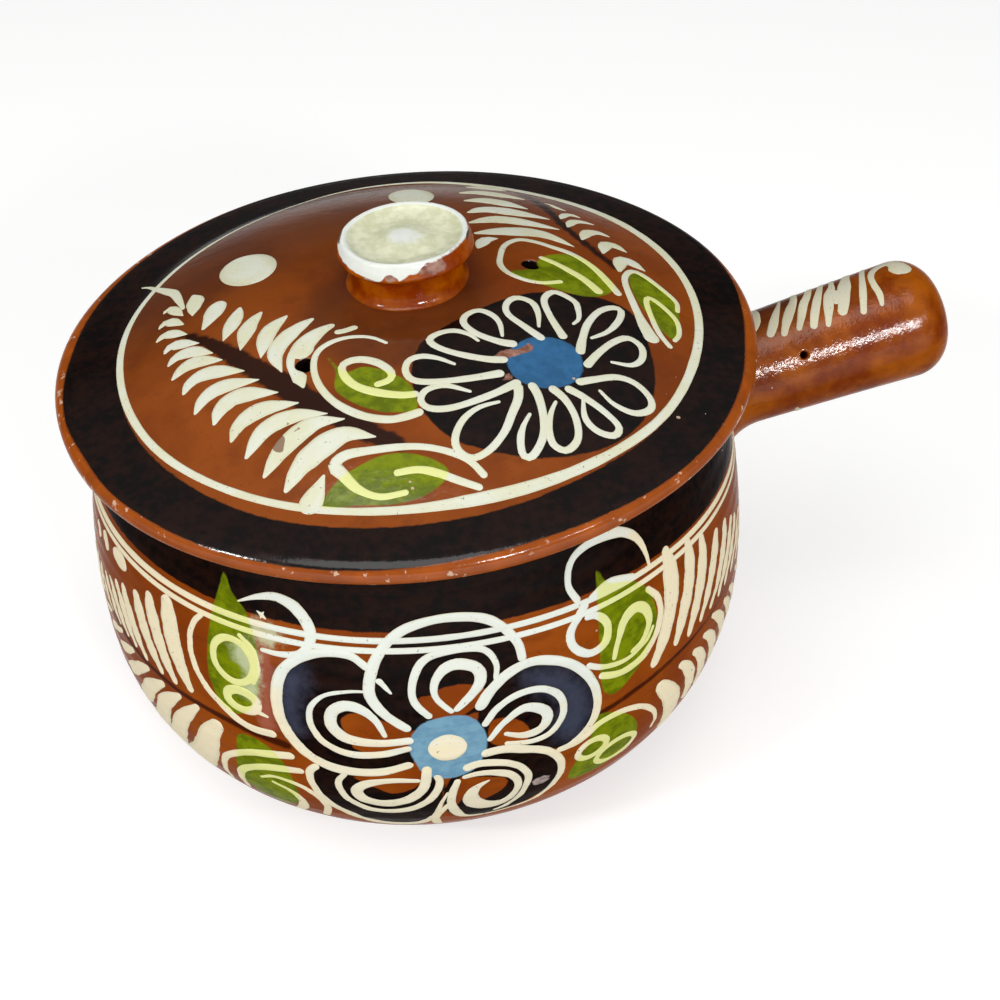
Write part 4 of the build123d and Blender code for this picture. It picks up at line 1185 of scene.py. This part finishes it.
def makeLidSlip():
    strokes = [((2.7, 2.2, 2.0, 2.1, 1.9, 0.9), points) for points in lidPetals]
    strokes += lidLeafStrokes
    strokes += [pressed(1.1 * w, points) for w, points in lidLeaflets]
    strokes += lidDots
    bearing = np.linspace(-180, 180, 72, endpoint=False)
    circle = np.stack([np.cos(np.radians(bearing)), np.sin(np.radians(bearing))], 1)
    strokes.append((around(lidRingWidth, bearing, 6), around(lidRing, bearing)[:, None] * circle, "ring"))
    washes = {"green": lidShapes["leaves"], "black": [lidShapes["flower"]], "worn": lidShapes["chipped"]}
    piece = slipStrokes("lidSlip", lidPoint, strokes, washes)
    piece.data.materials.append(creamSlip("creamSlipLid", creamTones))
    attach(piece, "cover")


# Knob

knob = {
    "centre": (2.1, 1.5),
    "top": corner("lid_knob", 1)[2],
    "radius": 19.0,
    "stemRadius": 15.5,
    "rimRadius": 17.5,  # the head widens from its rim down to a blunt edge
    "headThickness": 5.6,
    "footFlare": 2.7,
    "dish": (
        (16.0, 0.45), (15.2, 1.3), (13.4, 1.95), (10.8, 2.35), (8.6, 2.2), (6.2, 1.55), (3.6, 1.05),
        (0, 0.9),
    ),
    "columns": 220,
}


# Half section of the knob: buried foot, hollow flare up to the stem, undercut head, rounded rim, dish
def knobSection():
    k = knob
    headFoot = k["top"] - k["headThickness"]
    footZ = lidHeight(k["stemRadius"] + k["footFlare"]) - 0.2
    t = np.linspace(0, np.pi / 2, 18)
    flare = np.stack([k["stemRadius"] + k["footFlare"] * (1 - np.sin(t)) ** 1.6,
                      footZ + (headFoot - 0.9 - footZ) * (1 - np.cos(t))], 1)
    head = brushLine(((k["stemRadius"] + 0.2, headFoot - 0.5), (k["radius"] - 1.6, headFoot - 0.2),
                      (k["radius"] - 0.3, headFoot + 0.5), (k["radius"], headFoot + 1.3),
                      (k["radius"] - 0.4, headFoot + 3.0), (k["rimRadius"] + 0.4, k["top"] - 0.8),
                      (k["rimRadius"] - 0.1, k["top"] - 0.15), (k["rimRadius"] - 0.7, k["top"])), 0.35)[0]
    dish = brushLine([(r, k["top"] - depth) for r, depth in k["dish"]], 0.5)[0]
    base = straight((0, footZ - 2), (k["stemRadius"] + k["footFlare"], footZ - 2), 6)
    return np.concatenate([base, flare, head, dish])


def knobBend(x, y, z, distance, bearing):
    wavy = 1 + (0.2 * np.sin(2 * bearing + 0.4) + 0.1 * np.sin(5 * bearing)) * smooth(4, 16, distance) / 19
    x, y = x * wavy, y * wavy
    x, y = x + knob["centre"][0], y + knob["centre"][1]
    return x, y, z + lean * x + 0.05 * np.sin(3 * bearing) * smooth(8, 17, distance)


# How far the white slip runs down the outside of the head, by bearing
whiteReach = (  # bearing, mm
    (169, 2.2), (-170, 2.8), (-155, 3.3), (-132, 3.9), (-124, 4.5), (-119, 4.2), (-116, 2.7), (-111, 2.2),
    (-107.5, 2.9), (-104.5, 4.2), (-101, 3.5), (-96, 2.8), (-90, 2.5), (-86, 1.6), (-80, 0.5), (-58, 0.3),
    (-27, 0.3), (0, 0.4), (30, 0.6), (60, 0.9), (104, 1.2), (140, 1.6),
)


def makeKnob():
    piece = turnedShell("knobBody", knobSection(), knob["columns"], knobBend)
    p = vertexPlaces(piece)
    x, y = p[:, 0] - knob["centre"][0], p[:, 1] - knob["centre"][1]
    r = np.hypot(x, y)
    bearing = np.degrees(np.arctan2(y, x))
    below = knob["top"] - (p[:, 2] - lean * p[:, 0])
    inDish = (r < knob["rimRadius"] - 1.0) & (below < 4)

    # Dab on the head's outside: bearing, depth below the rim and their half extents
    def dab(middle, depth, wide, high):
        return 1.5 * (1 - np.hypot((bearing - middle) / wide, (below - depth) / high))

    layers = {
        "cream": np.where(below < 6.4, around(whiteReach, bearing, 1.5) - below, far),
        "worn": np.max([dab(-74, 1.9, 13, 1.7), dab(-111, 3.3, 5, 1.1), dab(-129, 4.2, 6, 0.6)], 0),
        "chip": np.max([dab(165, 0.9, 13, 0.8), dab(104, 0.6, 6, 0.5), dab(128, 0.5, 5, 0.4),
                        dab(18, 0.7, 15, 0.45), dab(-18, 0.6, 9, 0.4), dab(58, 0.5, 7, 0.4)], 0),
    }
    layers = {key: np.where(inDish, 3.0 if key == "cream" else far, value) for key, value in layers.items()}
    border = 1.1 + 0.6 * np.cos(np.radians(bearing + 130))  # the white edge is wider towards the front left
    layers["foot"] = np.where(below > 7, r - knob["stemRadius"] - 1.7, far)
    layers["dish"] = np.where(inDish, np.minimum(knob["rimRadius"] - border - r, 0.6 * (r - 4.0)), far)
    addLayers(piece, layers)
    washes = (footWash, worn, knobCream, dishCream, chipped)
    piece.data.materials.append(glazedEarthenware("leadGlazedTerracottaKnob", knobTones, washes))
    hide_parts("lid_knob")
    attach(piece, "cover")
    print("knob", len(p), "points")


# Handle

handle = {
    "drop": 27.0,  # rim top to the axis, at the wall
    "tilt": math.radians(11.4),
    "length": 74.2,
    "rootRadius": 16.6,
    "gripRadius": 18.6,
    "flare": 2.2,
    "flareLength": 9.0,
    "endRound": 11.0,
    "endCrown": 2.3,
    "wall": 5.0,
    "buried": 3.0,
    "girth": 17.0,  # places round the handle are written as mm at this radius
    "ventRadius": 1.2,
    "ventLip": 0.5,
    "ventAlong": 24.6,
    "ventBearing": math.radians(55),  # from the top towards the front
    "columns": 220,
}
handle["axis"] = np.array([math.cos(handle["tilt"]), 0, math.sin(handle["tilt"])])
handle["up"] = np.array([-math.sin(handle["tilt"]), 0, math.cos(handle["tilt"])])
handle["front"] = np.array([0, -1.0, 0])
rootHeight = bowl["rimTop"] - handle["drop"]
handle["root"] = np.array([float(wallRadius(rootHeight)), 0, rootHeight])


# Half section of the round bar: (distance from its axis, mm along it)
def handleProfile(inset):
    h = handle
    root, grip = h["rootRadius"] - inset, h["gripRadius"] - inset
    shoulder = h["length"] - h["endCrown"] - inset
    along = np.linspace(-h["buried"], shoulder - h["endRound"] + inset, 64)
    widen = h["flare"] * np.clip(1 - along / h["flareLength"], 0, 1.2) ** 2.2
    taper = np.clip((along - h["flareLength"]) / (shoulder - h["flareLength"]), 0, 1)
    bar = root + (grip - root) * taper + widen
    t = np.linspace(0, 1, 30)[1:]
    endRound = h["endRound"] - inset
    a = t * np.pi / 2
    cap = np.stack([bar[-1] - endRound * (1 - np.cos(a)), along[-1] + endRound * np.sin(a)], 1)
    flat = cap[-1, 0] * np.linspace(1, 0, 12)[1:]
    crown = cap[-1, 1] + h["endCrown"] * (1 - (flat / cap[-1, 0]) ** 2)
    return np.concatenate([np.stack([bar, along], 1), cap, np.stack([flat, crown], 1)])


handleOutline = handleProfile(0)


def handleUneven(along, bearing):
    return 1 + (0.16 * np.sin(2 * bearing + along / 30) + 0.1 * np.sin(3 * bearing + along / 17 + 1)) / 17


def handlePoint(place):
    along, angle = place[..., 0], place[..., 1] / handle["girth"]
    r = np.interp(along, handleOutline[:, 1], handleOutline[:, 0]) * handleUneven(along, angle)
    ring = np.cos(angle)[..., None] * handle["up"] + np.sin(angle)[..., None] * handle["front"]
    return handle["root"] + along[..., None] * handle["axis"] + r[..., None] * ring


# Cream strokes on the handle: mm along it, mm round it from the top towards the front
handleStrokes = (
    ((3.0, 4.2, 3.8, 1.6), ((16, -9), (15.4, -3), (14.4, 1), (12.2, 4.8))),
    ((0.8, 1.4, 2.4, 2.9, 2.4), ((25.2, -7.5), (23.8, -4), (21, 1), (18.6, 5), (16.5, 7.8))),
    ((2.0, 2.2, 3.0, 3.1, 2.0), ((30.8, -11), (28.7, -4), (26, 0.5), (23, 5), (20.6, 9))),
    ((2.0, 2.4, 2.9, 2.7, 1.6), ((36.2, -11), (33.2, -4), (30.5, 0), (27.7, 5), (25.4, 8.8))),
    ((1.8, 2.0, 2.6, 2.9, 2.2), ((40.2, -11), (37.3, -4.5), (34.3, 1), (31.8, 5.5), (29.7, 9.8))),
    ((1.6, 1.7, 3.4, 3.1, 1.5), ((43.2, -11), (41, -4), (38, 1.5), (36, 6), (34.1, 10.6))),
    ((2.4, 2.7, 4.3, 3.7, 2.8), ((48.4, -11), (45.6, -4.5), (43, 1), (41.2, 5), (39.2, 8.6))),
    ((1.6, 3.4, 1.4), ((41.4, -1), (40.2, 2), (39, 4.4))),
    ((1.6, 1.8, 2.1, 2.4, 1.8), ((53.8, -11), (51.3, -5), (49, 1), (47, 6), (45.3, 10.4))),
    ((1.2, 2.2, 2.2, 2.0, 2.2, 2.4, 3.0, 5.4, 6.8, 6.6), ((51.4, 9.8), (52.2, 6), (52.1, 2.5), (52.6, -1),
     (54.2, -4), (57, -6.2), (60, -6.6), (61.8, -4.5), (62, -1.5), (61.2, 1.8))),
    ((1.0, 2.4, 1.0), ((20, 36), (21.4, 40), (22.6, 45))),
)
handlePinhole = (((60.6, 1.6), (61.4, 1.4), (62, 2), (61.4, 2.6), (60.6, 2.4)),)


def handleBend(x, y, z, distance, bearing):
    uneven = handleUneven(z, bearing)
    ring = (x * uneven)[..., None] * handle["up"] + (y * uneven)[..., None] * handle["front"]
    p = handle["root"] + z[..., None] * handle["axis"] + ring
    return p[..., 0], p[..., 1], p[..., 2]


def makeHandle():
    outer, inner = handleOutline[::-1], handleProfile(handle["wall"])
    piece = turnedShell("handleBody", np.concatenate([outer, inner]), handle["columns"], handleBend)
    turned = handle["ventBearing"]
    centre = handlePoint(np.array([handle["ventAlong"], turned * handle["girth"]]))
    axis = math.cos(turned) * handle["up"] + math.sin(turned) * handle["front"]
    pierce(piece, ventCutter(centre, axis, handle["ventRadius"], handle["ventLip"], 1.6 * handle["wall"]))
    p = vertexPlaces(piece) - handle["root"]
    turned = np.arctan2(-p[:, 1], p @ handle["up"])  # from the top towards the front
    # Painted shade along the top of the handle, darkest near the pot
    shaded = smooth(1.1, 0.3, np.abs(turned + 0.3)) * smooth(70, 20, p @ handle["axis"])
    addLayers(piece, {"paintedShade": 2 * shaded - 1})
    piece.data.materials.append(glazedEarthenware("leadGlazedTerracottaHandle", handleTones, (paintedShadeWash,)))
    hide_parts("handle")
    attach(piece, "pot")
    washes = {"green": [], "black": [], "worn": handlePinhole}
    paint = slipStrokes("handleSlip", handlePoint, handleStrokes, washes, flip=True)
    paint.data.materials.append(creamSlip("creamSlipHandle", handleCream))
    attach(paint, "pot")
    print("handle", len(piece.data.vertices), "points")


# Stage, light and camera

stage = {
    "floorRadius": 2600.0, "floorSides": 96, "white": "#cfcfcd", "lift": 0.57,
    "sky": (0.97, 0.985, 1.0, 1.0), "skyStrength": 0.28, "lampsAim": (20, 0, 80),
}
lamps = (  # name, bearing from the front towards the handle, elevation, distance, width, height, watts
    ("frontStrip", 14, 24.5, 1300, 230, 120, 6.0),
    ("rightWindow", 38, 28, 1300, 90, 90, 1.4),
    ("leftWindow", -68, 33, 1300, 170, 90, 4.6),
    ("overhead", -35, 72, 1500, 1000, 1000, 7.6),
)
lookout = {
    "eye": (-44.3, -360.8, 363.5), "aim": (22.44, -16.27, 72.4), "roll": math.radians(-2.263), "lens": 54.0,
}


# Round floor of plain white paper, a little lifted where it is looked at
def makeStage():
    bearing = np.linspace(0, 2 * np.pi, stage["floorSides"], endpoint=False)
    edge = stage["floorRadius"] * np.stack([np.cos(bearing), np.sin(bearing), 0 * bearing], 1)
    piece = newObject("studioFloor", edge, [list(range(stage["floorSides"]))])
    material = bpy.data.materials.new("mattStudioPaper")
    material.use_nodes = True
    tree = material.node_tree
    tree.nodes.remove(tree.nodes["Principled BSDF"])
    paper = add(tree, "BsdfDiffuse", {"Color": stage["white"]})
    path = tree.nodes.new("ShaderNodeLightPath").outputs
    seen = add(tree, "Math", {0: path["Is Camera Ray"], 1: path["Is Glossy Ray"]}, operation="MAXIMUM")
    seen = add(tree, "Math", {0: seen, 1: path["Is Transmission Ray"]}, operation="MAXIMUM")
    lift = add(tree, "Math", {0: seen, 1: stage["lift"]}, operation="MULTIPLY")
    both = add(tree, "AddShader", {0: paper, 1: add(tree, "Emission", {"Strength": lift})})
    tree.links.new(both, tree.nodes["Material Output"].inputs["Surface"])
    piece.data.materials.append(material)


def makeLight():
    world = bpy.data.worlds.new("studio")
    world.use_nodes = True
    sky = world.node_tree.nodes["Background"].inputs
    sky["Color"].default_value = stage["sky"]
    sky["Strength"].default_value = stage["skyStrength"]
    bpy.context.scene.world = world
    for name, bearing, elevation, distance, width, height, watts in lamps:
        b, e = math.radians(bearing), math.radians(elevation)
        back = np.array([math.sin(b) * math.cos(e), -math.cos(b) * math.cos(e), math.sin(e)])
        light = bpy.data.lights.new(name, "AREA")
        light.shape = "RECTANGLE"
        light.size, light.size_y = width / 1000, height / 1000
        light.energy = watts
        lamp = bpy.data.objects.new(name, light)
        lamp.location = Vector((np.array(stage["lampsAim"]) + back * distance) / 1000)
        lamp.rotation_euler = Vector(back).to_track_quat("Z", "Y").to_euler()
        bpy.context.scene.collection.objects.link(lamp)


def makeCamera():
    camera = bpy.data.cameras.new("photoView")
    camera.sensor_fit = "HORIZONTAL"
    camera.sensor_width = 36.0
    camera.lens = lookout["lens"]
    camera.clip_start = 0.02
    holder = bpy.data.objects.new("photoView", camera)
    eye, aim = Vector(lookout["eye"]), Vector(lookout["aim"])
    turn = (eye - aim).to_track_quat("Z", "Y").to_matrix().to_4x4()
    holder.matrix_world = Matrix.Translation(eye / 1000) @ turn @ Matrix.Rotation(lookout["roll"], 4, "Z")
    bpy.context.scene.collection.objects.link(holder)
    bpy.context.scene.camera = holder


makeCamera()
makeLight()
makeStage()
makeBowl()
makeWallSlip()
makeHandle()
makeLid()
makeLidSlip()
makeKnob()
bpy.context.scene.view_settings.view_transform = "Standard"
print("scene built")
